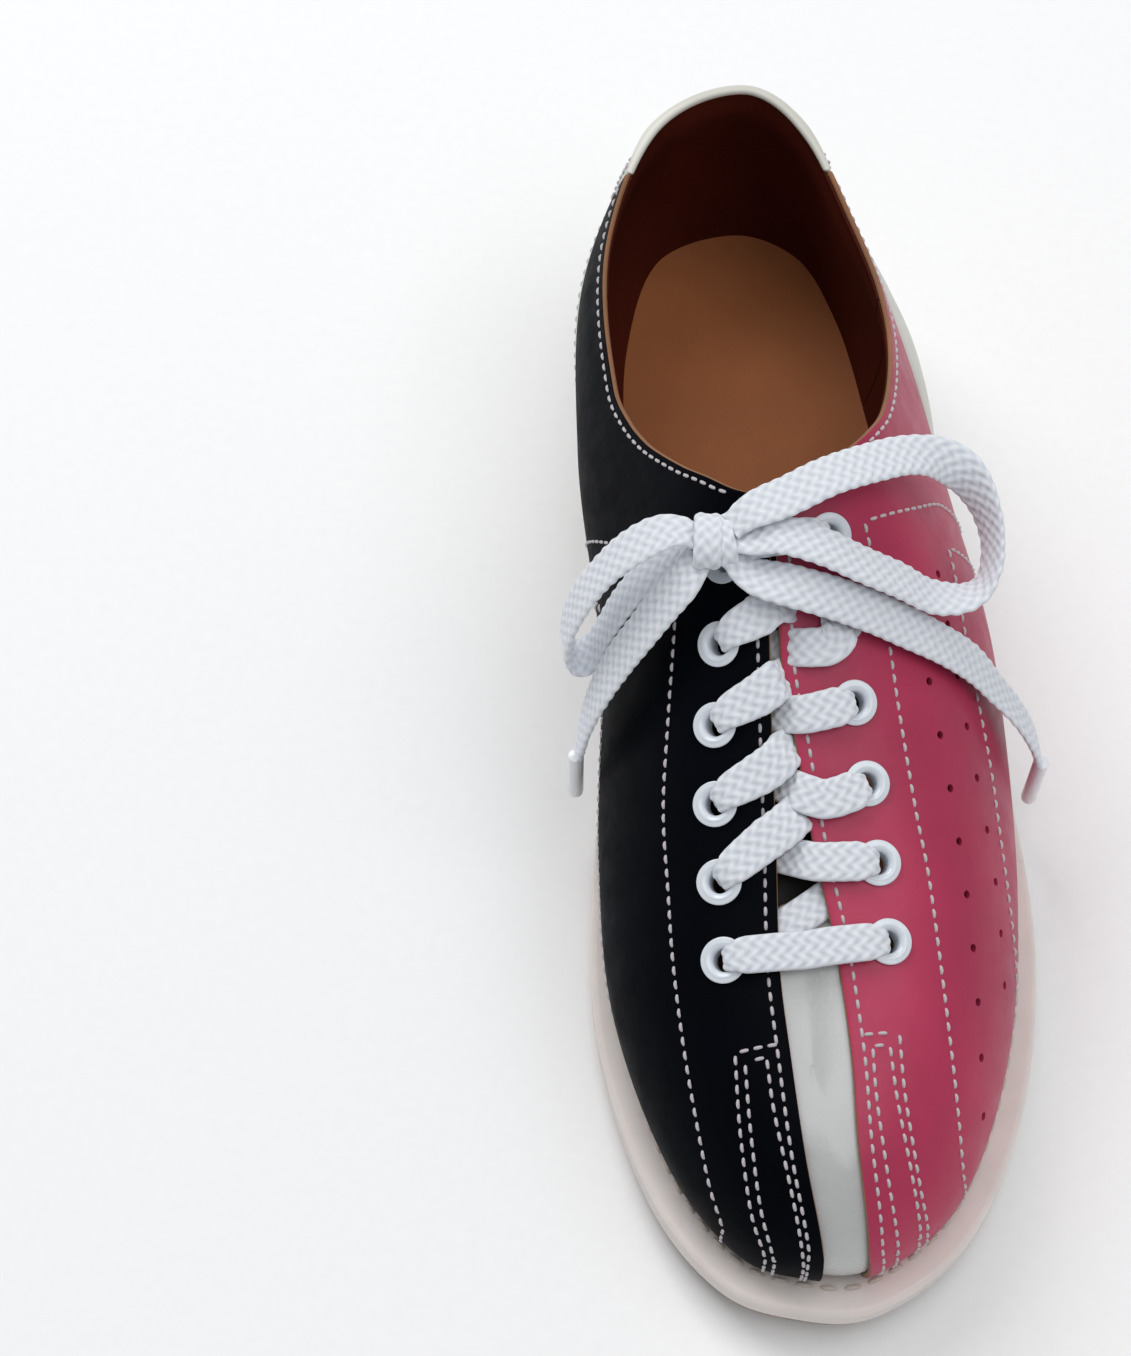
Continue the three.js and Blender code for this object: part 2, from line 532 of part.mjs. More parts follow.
/** Flat lace along a route of points, each with the direction its face looks. */
function ribbon(route, { width, thickness }, count) {
  const centre = new THREE.CatmullRomCurve3(route.map(([p]) => p));
  const facing = new THREE.CatmullRomCurve3(route.map(([, n]) => n));
  const rings = steps(0, 1, count).map((t) => {
    const p = centre.getPoint(t);
    const tangent = centre.getTangent(t);
    const face = facing.getPoint(t);
    const side = new THREE.Vector3().crossVectors(tangent, face).normalize();
    const up = new THREE.Vector3().crossVectors(side, tangent).normalize();
    const corner = (a, b) => p.clone().addScaledVector(side, (a * width) / 2).addScaledVector(up, (b * thickness) / 2);
    return [corner(-1, 0), corner(-0.8, 1), corner(0.8, 1), corner(1, 0), corner(0.8, -1), corner(-0.8, -1)];
  });
  const points = rings.flat();
  const index = [];
  const sides = 6;
  for (let i = 0; i < rings.length - 1; i += 1) {
    for (let k = 0; k < sides; k += 1) {
      const a = i * sides + k;
      const b = i * sides + ((k + 1) % sides);
      index.push(a, b, b + sides, a, b + sides, a + sides);
    }
  }
  const last = (rings.length - 1) * sides;
  for (let k = 1; k < sides - 1; k += 1) {
    index.push(0, k + 1, k, last, last + k, last + k + 1);
  }
  return facingOut(points, index);
}

/** Route over the surface through points in plan, each at its own height above it. */
const routeOver = (list) => list.map(([x, y, out]) => {
  const { u, phi } = locate(x, y);
  return [offsetPoint(u, phi, out), surfaceNormal(u, phi)];
});

const centreOf = (side, i) => surface(places[side][i].u, places[side][i].phi);
const OVER_FLANGE = GAP + EYELETS.lip + 2 * GAP + LACE.thickness / 2;

// The straight bar over the lowest pair.
{
  const a = centreOf('inner', 0);
  const b = centreOf('outer', 0);
  const spots = steps(0, 1, 6).map((t, i) => [a.x + (b.x - a.x) * t, a.y + (b.y - a.y) * t,
    i === 0 || i === 6 ? OVER_FLANGE : OVER_FLANGE + 0.2]);
  add('lace_bar', ribbon(routeOver(spots), LACE, 12), colours.lace, { roughness: 0.8 });
}
// Each run leaves its eyelet, crosses its own facing and reaches the gap on the way to the next pair.
for (let i = 1; i < EYELETS.pairs - 1; i += 1) {
  for (const [side, far, name] of [['inner', 'outer', 'medial'], ['outer', 'inner', 'lateral']]) {
    const a = centreOf(side, i);
    const b = centreOf(far, i + 1);
    const line = side === 'inner' ? edgeInner : edgeOuter;
    const sign = side === 'inner' ? 1 : -1;
    const end = { x: line((a.y + b.y) / 2) - sign * 0.5, y: (a.y + b.y) / 2 + sign * 1.5 };
    const spots = [0, 0.35, 0.6, 1].map((t, k) => [a.x + (end.x - a.x) * t, a.y + (end.y - a.y) * t,
      k < 3 ? OVER_FLANGE : OVER_FLANGE - 0.3]);
    add(`lace_run_${name}_${i + 1}`, ribbon(routeOver(spots), LACE, 6), colours.lace, { roughness: 0.8 });
  }
}

// From the last outer eyelet over the throat to the knot.
add('lace_to_knot', ribbon(routeOver([[1.2, 6, OVER_FLANGE], [-4, 5.6, OVER_FLANGE], [-10, 4.8, OVER_FLANGE],
  [-15, 4.2, OVER_FLANGE]]), LACE, 8), colours.lace, { roughness: 0.8 });

// ---------------------------------------------------------------- the bow

const KNOT = { centre: [-24.5, 3, 97.5], half: [7.5, 6.5, 4.4] };
const route = (list) => list.map(([x, y, z, a, b, c]) => [new THREE.Vector3(x, y, z), new THREE.Vector3(a, b, c)]);
const OUTER_LOOP = [
  [-16, 7, 103, 0, 0, 1], [-8, 10, 104, 0, 0, 1], [1, 14, 105, 0, 0, 1], [11, 19, 102, 0.2, 0, 1],
  [20, 23, 98.5, 0.1, -0.1, 1], [28, 24, 95, -0.2, -0.3, 0.9], [34, 21, 92, -0.6, -0.3, 0.7],
  [38, 15, 88, -0.9, -0.1, 0.5], [39.5, 8, 84, -0.9, 0.1, 0.4], [38, 1, 81, -0.7, 0.4, 0.5],
  [33, -3, 80, -0.3, 0.3, 0.9], [25, -4, 82, 0.2, 0.1, 1], [17, -3, 88, 0.3, 0, 1], [8, -2, 94, 0.3, 0, 1],
  [-1, 0, 99, 0.1, 0, 1], [-10, 2, 101, 0, 0, 1], [-16, 2, 99.5, 0, 0, 1]];
const INNER_LOOP = [
  [-33, 5, 99, 0, 0, 1], [-38, 4.5, 97.5, -0.2, 0, 1], [-44, 3, 93.5, -0.4, 0, 0.9], [-49, 1.5, 87.5, -0.7, 0, 0.7],
  [-53.5, -0.5, 80, -0.9, -0.1, 0.5], [-56.5, -2.5, 71.5, -1, -0.1, 0.2], [-57, -4, 64, -1, -0.1, -0.3],
  [-54.5, -4.5, 59.5, -0.5, 0, -0.9], [-51, -4, 61.5, 0.4, 0, -0.9], [-48.5, -2.5, 67.5, 0.9, 0, -0.5],
  [-45, -0.5, 75.5, 0.8, 0, -0.6], [-40, 2, 82.5, 0.7, 0, -0.7], [-34, 4, 87.5, 0.5, 0, -0.9]];
const OUTER_TAIL = [
  [-16, -4.5, 95, 0, 0, 1], [-8, -7.5, 95, 0, -0.2, 1], [1, -9, 92, 0.2, -0.3, 1], [10, -10, 87, 0.4, -0.3, 0.9],
  [18, -11, 81.5, 0.5, -0.3, 0.8], [27, -12, 74.5, 0.65, -0.2, 0.7], [35, -13, 66.5, 0.75, -0.2, 0.6],
  [41, -15.5, 59, 0.85, -0.1, 0.5], [47, -19, 52, 0.9, 0, 0.4], [51.5, -21, 43, 1, 0, 0.2], [54, -22, 34, 1, 0, 0]];
const INNER_TAIL = [
  [-31, -4, 93, -0.3, -0.2, 1], [-35.5, -6.5, 87.5, -0.5, -0.2, 0.9], [-40.5, -9.5, 80, -0.7, -0.2, 0.7],
  [-45.5, -12, 71.5, -0.8, -0.2, 0.6], [-50, -15, 62, -0.9, -0.1, 0.4], [-53, -17, 51, -1, 0, 0.2],
  [-54.5, -19, 40, -1, 0, 0.1]];

const knot = new THREE.SphereGeometry(1, 16, 10).scale(...KNOT.half).translate(...KNOT.centre);
add('lace_knot', knot, colours.lace, { roughness: 0.8 });
add('lace_loop_lateral', ribbon(route(OUTER_LOOP), FREE_LACE, 34), colours.lace, { roughness: 0.8 });
add('lace_loop_medial', ribbon(route(INNER_LOOP), FREE_LACE, 26), colours.lace, { roughness: 0.8 });
add('lace_tail_lateral', ribbon(route(OUTER_TAIL), FREE_LACE, 20), colours.lace, { roughness: 0.8 });
add('lace_tail_medial', ribbon(route(INNER_TAIL), FREE_LACE, 14), colours.lace, { roughness: 0.8 });

const AGLET = { radius: 1.9, length: 20 };
for (const [name, tail] of [['aglet_lateral', OUTER_TAIL], ['aglet_medial', INNER_TAIL]]) {
  const [x, y, z] = tail[tail.length - 1];
  const side = Math.sign(x);
  const aglet = new THREE.CylinderGeometry(AGLET.radius, AGLET.radius, AGLET.length, 12).rotateX(Math.PI / 2);
  add(name, aglet.translate(x + side * 0.8, y - 0.5, z - GAP - AGLET.length / 2), colours.aglet, { roughness: 0.3 });
}

export default shoe;
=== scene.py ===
# Bowling shoe, left foot: fine pieces and finishes around the fixed frame.
import math

import bpy
import bmesh
import numpy as np
from bpy.props import FloatProperty, FloatVectorProperty, PointerProperty
from mathutils import Matrix, Vector


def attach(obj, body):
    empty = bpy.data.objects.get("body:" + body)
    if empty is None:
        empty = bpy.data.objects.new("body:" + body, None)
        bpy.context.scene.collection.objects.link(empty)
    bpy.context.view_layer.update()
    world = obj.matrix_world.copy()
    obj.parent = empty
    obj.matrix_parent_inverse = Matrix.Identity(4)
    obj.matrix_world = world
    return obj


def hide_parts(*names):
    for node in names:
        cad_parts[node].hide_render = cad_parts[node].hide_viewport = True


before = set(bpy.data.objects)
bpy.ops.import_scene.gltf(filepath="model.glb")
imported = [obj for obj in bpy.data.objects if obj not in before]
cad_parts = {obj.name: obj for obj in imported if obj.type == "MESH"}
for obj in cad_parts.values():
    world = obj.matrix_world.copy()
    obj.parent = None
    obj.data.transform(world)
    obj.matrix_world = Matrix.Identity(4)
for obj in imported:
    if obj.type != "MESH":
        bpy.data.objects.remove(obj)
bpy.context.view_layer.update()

bl_info = {
    "name": "Bowling Shoe",
    "version": (1, 0, 0),
    "blender": (4, 5, 0),
    "location": "3D View > Sidebar > Shoe",
    "description": "Builds the fine pieces and finishes of a lace-up bowling shoe",
    "category": "Object",
}

MM = 0.001


# ---------------------------------------------------------------- colours and sizes

def linear(code):
    """Linear RGB of an sRGB hex colour."""
    parts = [int(code[i:i + 2], 16) / 255 for i in (0, 2, 4)]
    return tuple(c / 12.92 if c <= 0.04045 else ((c + 0.055) / 1.055) ** 2.4 for c in parts)


def colour_property(name, description, code):
    return FloatVectorProperty(name=name, description=description, subtype="COLOR", size=3,
                               min=0.0, max=1.0, default=linear(code))


def length_property(name, description, millimetres):
    return FloatProperty(name=name, description=description, unit="LENGTH", min=0.0,
                         default=millimetres * MM)


class ShoeColours(bpy.types.PropertyGroup):
    navy: colour_property("Navy", "Inner half of the upper", "02040a")
    crimson: colour_property("Crimson", "Outer half of the upper", "ae3153")
    cream: colour_property("Cream", "Strip up the toe", "bcbdbc")
    white: colour_property("White", "Heel collar and counter", "d2d1c8")
    lining: colour_property("Lining", "Quarter and heel lining", "541e12")
    tan: colour_property("Tan", "Raw edges of the cut leather", "94643f")
    sole: colour_property("Sole", "Moulded sole unit", "e8dfda")
    slide: colour_property("Slide sole", "Leather under the forefoot", "9c8772")
    rubber: colour_property("Heel rubber", "Heel top lift", "2b2826")
    lace: colour_property("Lace", "Cotton lace", "eaedf2")
    thread: colour_property("Thread", "Seam stitching", "c9c3c6")
    enamel: colour_property("Enamel", "Eyelets", "dbe1e8")


class ShoeSizes(bpy.types.PropertyGroup):
    lace_thickness: length_property("Lace thickness", "Thickness of the flat lace", 1.6)
    stitch_pitch: length_property("Stitch pitch", "From one stitch to the next", 3.1)
    stitch_length: length_property("Stitch length", "Thread that shows in one stitch", 2.3)
    thread: length_property("Thread", "Diameter of the seam thread", 0.8)
    perforation: length_property("Perforation", "Diameter of the small air holes", 1.9)


# ---------------------------------------------------------------- the last, in millimetres

# Outline of the sole: x, y and how far the upper's lower edge stands in from it.
OUTLINE = np.array([
    [-7, 147, 4], [15, 137, 4], [26, 112, 4.5], [31, 75, 4.5], [37, 34, 4.5],
    [49, -6, 5], [53, -53, 6], [46.5, -95, 7.5], [30, -129.5, 8], [7, -146.4, 8],
    [-13.5, -145.9, 8], [-29, -138, 8], [-43, -116, 8], [-52.5, -79, 7.5], [-52, -40, 6],
    [-46, 8, 4.5], [-44, 55, 4], [-43, 101, 4], [-33, 136, 4]])
COUNT = len(OUTLINE)
# How far the wall swells out, round the same points.
SWELL = np.array([0.12, 0.04, 0.06, 0.19, 0.21, 0.085, 0.02, 0.04, 0.075, 0.08, 0.09, 0.10, 0.12,
                  0.15, 0.19, 0.28, 0.42, 0.33, 0.14])
# How far the wall leans in towards its top, round the back of the outer side.
LEAN = np.array([0.05, 0.38, 0.42, 0.2] + [0.0] * (COUNT - 4))
SPINE = 0.72          # a section's ridge stands at this share of its foot's y
QUARTER_TURN = math.pi / 2
BREAST_Y = 72         # front face of the heel
THROAT_Y = 12.3       # back end of the facings' front edges
COUNTER_Y = 44        # front end of the counter cover
COLLAR_Y = {-1: 118.5, 1: 126}    # front ends of the heel collar, by side
SEAM = 0.4            # half the height left between two pieces that are sewn together
FOOT_PHI = 0.02       # how low the linings and the stiffener reach

# Thickness of each sheet, and how deep its face lies under the upper's outer surface.
UPPER = 1.3
COLLAR = 1.9
STRIP, STRIP_DEPTH, STRIP_DIP = 1.0, 1.5, 3.2
STIFFENER, STIFFENER_DEPTH = 0.8, 1.7
LINING, LINING_DEPTH = 0.7, 3.2
TONGUE, TONGUE_DEPTH, TONGUE_BACK_DEPTH = 1.4, 8.0, 9.7
RAW_EDGE = 0.65       # width of the rounded edge of a cut sheet
SWELL_ENDS = 12       # a padded piece thins out over this length at its ends
EYELET_HOLE = 3.65
LINING_HOLE = 3.6


def catmull(values, u):
    """Closed smooth curve through the values, at u counted in values."""
    whole = np.floor(u).astype(int)
    t = np.asarray(u, float) - whole
    if values.ndim == 2:
        t = t[..., None]
    a, b, c, d = (values[(whole + k) % len(values)] for k in (-1, 0, 1, 2))
    return 0.5 * (2 * b + (c - a) * t + (2 * a - 5 * b + 4 * c - d) * t ** 2
                  + (3 * b - a - 3 * c + d) * t ** 3)


def ease(x, knots):
    """Smooth value at x through the knots (x, value), level at a highest or lowest knot."""
    xs, ys = np.array(knots, float).T
    count = len(xs)
    slopes = np.zeros(count)
    for i in range(count):
        a, b = max(i - 1, 0), min(i + 1, count - 1)
        turns = (ys[i] - ys[a]) * (ys[b] - ys[i]) <= 0
        slopes[i] = 0 if turns and 0 < i < count - 1 else (ys[b] - ys[a]) / (xs[b] - xs[a])
    x = np.asarray(x, float)
    i = np.clip(np.searchsorted(xs, x) - 1, 0, count - 2)
    h = xs[i + 1] - xs[i]
    t = np.clip((x - xs[i]) / h, 0, 1)
    return (ys[i] * (2 * t ** 3 - 3 * t ** 2 + 1) + slopes[i] * h * (t ** 3 - 2 * t ** 2 + t)
            + ys[i + 1] * (3 * t ** 2 - 2 * t ** 3) + slopes[i + 1] * h * (t ** 3 - t ** 2))


def feather_z(y):
    return ease(y, [(-147, 17.5), (-110, 13), (-65, 10.5), (-25, 11.5), (25, 17.5), (70, 21.5),
                    (147, 22.5)])


def ridge_x(s):
    return ease(s, [(-106, -7.5), (-75, -9.5), (-35, -11.5), (-5, -11.5), (35, -9), (106, -8.5)])


def ridge_z(s):
    return ease(s, [(-114, 50.5), (-84, 56.5), (-48, 68), (-17, 82.5), (12, 99), (35, 113),
                    (66, 130), (104, 140)])


def squareness(s):
    return ease(s, [(-114, 2.7), (-58, 2.5), (-7, 2.1), (45, 2.2), (101, 2.6)])


def swell_drop(s):
    return ease(s, [(-106, 0.43), (-10, 0.43), (40, 0.95), (106, 1.0)])


# Heights of the topline and of the counter cover's upper edge, as (y of the section's foot, z), by side.
TOPLINE = {
    -1: [(24, 95.6), (30, 90.4), (39, 82.4), (48, 76.7), (59, 73), (79, 73.6), (100, 76), (125, 81),
         (143, 86)],
    1: [(24, 102), (42, 93), (59, 85.5), (79, 78.5), (100, 74.5), (125, 78), (143, 86)]}
COUNTER = {
    -1: [(38, 21), (60, 36), (80, 46), (100, 54), (120, 59), (143, 63)],
    1: [(38, 21), (55, 42), (80, 58), (100, 60), (125, 61), (143, 63)]}
# The topline near the throat, as phi on the section whose foot is at y; further back it follows TOPLINE.
THROAT = {
    -1: [(17, 1.56), (18.2, 1.44), (20.3, 1.3), (24.4, 1.144), (30.3, 0.952), (39.4, 0.744), (47.6, 0.626)],
    1: [(17, 1.56), (21.8, 1.459), (26.3, 1.307), (30.2, 1.189), (35.9, 1.047), (42.4, 0.911), (49, 0.82)]}
# Front edges of the facings, as (y, x).
EDGE = {
    -1: [(-141, -6.1), (-122, -10.1), (-99, -12.1), (-80, -13.2), (-57, -12.6), (-15, -12.2), (0, -11.6),
         (14, -11.0)],
    1: [(-141, 3.8), (-120, 1.3), (-100, 0.8), (-76, -1.4), (-59, -4.4), (-37, -7.4), (-15, -10.4),
        (0, -10.4), (14, -10.2)]}


def rim(u, extra=0.0):
    """Point in plan inside the outline, past the upper's lower edge by extra."""
    e = 0.002
    p = catmull(OUTLINE, u)
    d = catmull(OUTLINE, u + e) - catmull(OUTLINE, u - e)
    size = np.hypot(d[..., 0], d[..., 1])
    inset = p[..., 2] + extra
    return p[..., 0] + d[..., 1] / size * inset, p[..., 1] - d[..., 0] / size * inset


def surface(u, phi):
    """Point on the upper's outer surface: phi runs from the sole (0) to the ridge."""
    u, phi = np.broadcast_arrays(np.asarray(u, float), np.asarray(phi, float))
    x, y = rim(u)
    s = SPINE * y
    rise = np.sin(phi) ** (1 / 1.1)
    belly = np.sin(np.pi * rise * (1 + swell_drop(s) * (1 - rise)))
    fullness = 1 + catmull(SWELL, u) * belly - catmull(LEAN, u) * rise ** 2
    reach = np.cos(phi) ** (2 / squareness(s)) * fullness
    base = feather_z(y)
    return np.stack([ridge_x(s) + (x - ridge_x(s)) * reach, s + (y - s) * reach,
                     base + (ridge_z(s) - base) * rise], axis=-1)


def unit(v):
    return v / np.maximum(np.linalg.norm(v, axis=-1, keepdims=True), 1e-9)


def surface_normal(u, phi):
    u, phi = np.broadcast_arrays(np.asarray(u, float), np.asarray(phi, float))
    e = 0.004
    low = np.maximum(phi - e, 0.001)
    high = np.minimum(phi + e, QUARTER_TURN - 0.001)
    mid = np.clip(phi, 0.002, QUARTER_TURN - 0.02)
    along = surface(u + e, mid) - surface(u - e, mid)
    return -unit(np.cross(along, surface(u, high) - surface(u, low)))


def lifted(u, phi, out):
    """Point at a distance outwards from the surface."""
    return surface(u, phi) + surface_normal(u, phi) * np.asarray(out)[..., None]


def bisect(low, high, test, rounds=36):
    a, b = np.broadcast_arrays(np.asarray(low, float), np.asarray(high, float))
    a, b = a.copy(), b.copy()
    for _ in range(rounds):
        mid = (a + b) / 2
        inside = test(mid)
        a = np.where(inside, mid, a)
        b = np.where(inside, b, mid)
    return (a + b) / 2


TOE_U = float(bisect(8.5, 10.5, lambda u: rim(u + 0.01)[1] < rim(u)[1]))
HEEL_U = float(bisect(-1.5, 1.5, lambda u: rim(u + 0.01)[1] > rim(u)[1]))
START_U = {-1: COUNT - 0.4, 1: 0.2}


def section_at(side, y):
    """The section on one side whose lower edge is at y."""
    y = np.asarray(y, float)
    return bisect(np.full(y.shape, START_U[side]), TOE_U, lambda u: rim(u)[1] > y)


def side_of(u):
    return np.where(np.mod(u, COUNT) < TOE_U, 1, -1)


def by_side(u, table, y):
    return np.where(side_of(u) > 0, ease(y, table[1]), ease(y, table[-1]))


def phi_at_height(u, z):
    y = rim(u)[1]
    base = feather_z(y)
    return np.arcsin(np.clip((z - base) / (ridge_z(SPINE * y) - base), 0, 1) ** 1.1)


def phi_at_line(u, line, side):
    """Where each section crosses the line x = line(y), from the ridge down; 0 where it never does."""
    def inside(phi):
        p = surface(u, phi)
        return (p[..., 0] - line(p[..., 1])) * side < 0
    found = bisect(np.full(u.shape, QUARTER_TURN), 0.0, inside)
    found = np.where(inside(np.full(u.shape, 0.02)), 0.0, found)
    return np.where(inside(np.full(u.shape, QUARTER_TURN)), found, QUARTER_TURN)


def locate(x, y):
    """Places on the surface above the points x, y in plan."""
    x, y = np.asarray(x, float), np.asarray(y, float)
    side = np.where(x > ridge_x(np.maximum(SPINE * y, -100)), 1, -1)
    start = np.where(side > 0, START_U[1], START_U[-1])

    def turn(u):
        fx, fy = rim(u)
        s = SPINE * fy
        return ((x - ridge_x(s)) * (fy - s) - (y - s) * (fx - ridge_x(s))) * side
    first = turn(start + (TOE_U - start) * 0.02) > 0
    u = bisect(start, np.full(x.shape, TOE_U), lambda v: (turn(v) > 0) == first)
    s = SPINE * rim(u)[1]
    away = np.hypot(x - ridge_x(s), y - s)

    def nearer(phi):
        q = surface(u, phi)
        return np.hypot(q[..., 0] - ridge_x(s), q[..., 1] - s) < away
    return u, bisect(np.full(x.shape, QUARTER_TURN), 0.35, nearer)


def lengths(points, axis):
    """Running length along one axis of a grid of points."""
    step = np.linalg.norm(np.diff(points, axis=axis), axis=-1)
    start = np.zeros_like(np.take(step, [0], axis=axis))
    return np.concatenate([start, np.cumsum(step, axis=axis)], axis=axis)


CLOSE_ROWS = np.array([0.0, 0.06, 0.25, 0.55, 1.0])


def spread(total, rows):
    """Distances from 0 to total, with close ones at both ends."""
    near = min(RAW_EDGE, total / 4) * CLOSE_ROWS
    middle = np.linspace(near[-1], total - near[-1], rows + 1)[1:-1]
    return np.concatenate([near, middle, total - near[::-1]])


def section_rows(u, low, high, rows):
    """Phi along each section, even in distance, with close rows at both edges."""
    fine = low[:, None] + (high - low)[:, None] * np.linspace(0, 1, 81)
    run = lengths(surface(u[:, None], fine), 1)
    return np.array([np.interp(spread(r[-1], rows), r, f) for r, f in zip(run, fine)])


def even_sections(first, last, count, edge):
    """Sections from one to another, even along the edge phi = edge(u) and the sole together."""
    fine = np.linspace(first, last, 500)
    upper = lengths(surface(fine, edge(fine)), 0)
    lower = lengths(surface(fine, np.zeros(500)), 0)
    run = upper + 0.5 * lower
    return np.interp(spread(run[-1], count), run, fine)


# ---------------------------------------------------------------- meshes

SHARP = 38            # degrees past which an edge is drawn sharp


def grid_faces(rows, cols, first=0, flip=False):
    i, j = np.meshgrid(np.arange(rows - 1), np.arange(cols - 1), indexing="ij")
    a = (first + i * cols + j).ravel()
    quads = np.stack([a, a + 1, a + cols + 1, a + cols], axis=1)
    return quads[:, ::-1] if flip else quads


def build(name, points, faces, materials, marks=None, merge=0.002, sharp=SHARP, relief=None):
    """New object from points in millimetres; faces that fold to nothing are dropped."""
    mesh = bpy.data.meshes.new(name)
    mesh.from_pydata((np.asarray(points) * MM).tolist(), [], [list(map(int, f)) for f in faces])
    for material in materials:
        mesh.materials.append(material)
    if marks is not None:
        mesh.polygons.foreach_set("material_index", np.asarray(marks, dtype=np.int32))
    if relief is not None:
        stored = mesh.attributes.new("relief", "FLOAT", "POINT")
        stored.data.foreach_set("value", np.asarray(relief, dtype=np.float32))
    work = bmesh.new()
    work.from_mesh(mesh)
    if merge:
        bmesh.ops.remove_doubles(work, verts=work.verts, dist=merge * MM)
        bmesh.ops.dissolve_degenerate(work, edges=work.edges, dist=merge * MM * 0.5)
    bmesh.ops.recalc_face_normals(work, faces=work.faces)
    work.to_mesh(mesh)
    work.free()
    smooth(mesh, sharp)
    made = bpy.data.objects.new(name, mesh)
    bpy.context.scene.collection.objects.link(made)
    return made


def smooth(mesh, sharp):
    mesh.polygons.foreach_set("use_smooth", [True] * len(mesh.polygons))
    mesh.set_sharp_from_angle(angle=math.radians(sharp))


def boolean(made, cutter, operation):
    """Cut or cross one object with another, and take the other away."""
    step = made.modifiers.new("cut", "BOOLEAN")
    step.object = cutter
    step.operation = operation
    step.solver = "EXACT"
    result = bpy.data.meshes.new_from_object(made.evaluated_get(bpy.context.evaluated_depsgraph_get()))
    made.modifiers.clear()
    made.data = result
    bpy.data.objects.remove(cutter, do_unlink=True)
    smooth(result, SHARP)


def leather_piece(name, u, phi, out, thickness, materials, plain=(), shift=None, swell=None, seamless=()):
    """Sheet of leather over a grid of places, with rounded edges; the second material is its raw edge.

    plain names the borders (low, high, first, last) that stay square; seamless ones close on themselves
    and get no wall. shift moves the sheet and swell thickens it by the distance from its high border.
    """
    u, phi = np.broadcast_arrays(u, phi)
    mid = surface(u, phi)
    normal = surface_normal(u, phi)
    across = lengths(mid, 1)
    down = lengths(mid, 0)
    borders = {"low": across, "high": across[:, -1:] - across, "first": down, "last": down[-1:] - down}
    edge = np.min([d for key, d in borders.items() if key not in plain], axis=0)
    radius = thickness / 2
    half = radius * np.sqrt(1 - (1 - np.clip(edge / radius, 0, 1)) ** 2)
    centre = out - radius + (shift(borders["high"]) if shift else 0)
    ends = np.clip(np.minimum(down, down[-1:] - down) / SWELL_ENDS, 0.15, 1)
    more = swell(borders["high"]) * ends * np.clip(edge / radius, 0, 1) if swell else 0
    outer = mid + normal * (centre + half + more)[..., None]
    inner = mid + normal * (centre - half)[..., None]
    rows, cols = u.shape
    count = rows * cols
    faces = [grid_faces(rows, cols), grid_faces(rows, cols, count, True)]
    corner = np.lib.stride_tricks.sliding_window_view(edge, (2, 2)).min(axis=(2, 3)).ravel()
    marks = [np.where(corner < radius * 0.5, 1, 0), np.where(corner < radius, 1, 0)]
    index = np.arange(count).reshape(rows, cols)
    walls = {"first": index[0], "last": index[-1][::-1], "low": index[:, 0][::-1], "high": index[:, -1]}
    for key, line in walls.items():
        if key in seamless:
            continue
        faces.append(np.stack([line[:-1], line[1:], line[1:] + count, line[:-1] + count], axis=1)[:, ::-1])
        marks.append(np.ones(len(line) - 1, int))
    points = np.concatenate([outer.reshape(-1, 3), inner.reshape(-1, 3)])
    return build(name, points, np.concatenate(faces), materials, np.concatenate(marks))


def leather(face, edge=None):
    """Materials of a sheet's faces and of its cut edge."""
    return [MATERIALS[face], MATERIALS[edge or face]]


def turned(profile, segments, axis_point, axis, closed=True):
    """Points and faces of a profile (radius, height) turned round an axis."""
    axis = unit(np.asarray(axis, float))
    helper = np.array([1.0, 0, 0]) if abs(axis[0]) < 0.8 else np.array([0, 1.0, 0])
    side = unit(np.cross(axis, helper))
    front = np.cross(axis, side)
    angle = np.linspace(0, 2 * np.pi, segments, endpoint=False)
    ring = np.cos(angle)[:, None] * side + np.sin(angle)[:, None] * front
    radius, height = np.array(profile, float).T
    points = (axis_point + radius[None, :, None] * ring[:, None, :] + height[None, :, None] * axis)
    count = len(profile)
    i, j = np.meshgrid(np.arange(segments), np.arange(count if closed else count - 1), indexing="ij")
    nxt = (i + 1) % segments
    up = (j + 1) % count
    faces = np.stack([i * count + j, nxt * count + j, nxt * count + up, i * count + up], axis=-1)
    return points.reshape(-1, 3), faces.reshape(-1, 4)


def joined(parts):
    """One list of points and one of faces from several."""
    points, faces, first = [], [], 0
    for p, f in parts:
        points.append(p)
        faces.append(f + first)
        first += len(p)
    return np.concatenate(points), np.concatenate(faces)


def finish_piece(made, body, slot, *nodes):
    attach(made, body)
    if nodes:
        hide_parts(*nodes)
    return made


# ---------------------------------------------------------------- finishes

def add(tree, kind, inputs=None, **settings):
    """Add a shader node; inputs are socket values, or sockets to link from."""
    made = tree.nodes.new("ShaderNode" + kind)
    for key, value in settings.items():
        setattr(made, key, value)
    for key, value in (inputs or {}).items():
        if isinstance(value, bpy.types.NodeSocket):
            tree.links.new(value, made.inputs[key])
        else:
            made.inputs[key].default_value = value
    return made


def per_metre(millimetres):
    """Texture scale that repeats once in so many millimetres."""
    return 1 / (millimetres * MM)


def shade(colour, factor):
    return (*[min(c * factor, 1.0) for c in colour], 1.0)


def new_material(name):
    made = bpy.data.materials.new(name)
    made.use_nodes = True
    tree = made.node_tree
    tree.nodes.clear()
    output = add(tree, "OutputMaterial")
    place = add(tree, "TexCoord").outputs["Object"]
    return made, tree, output, place


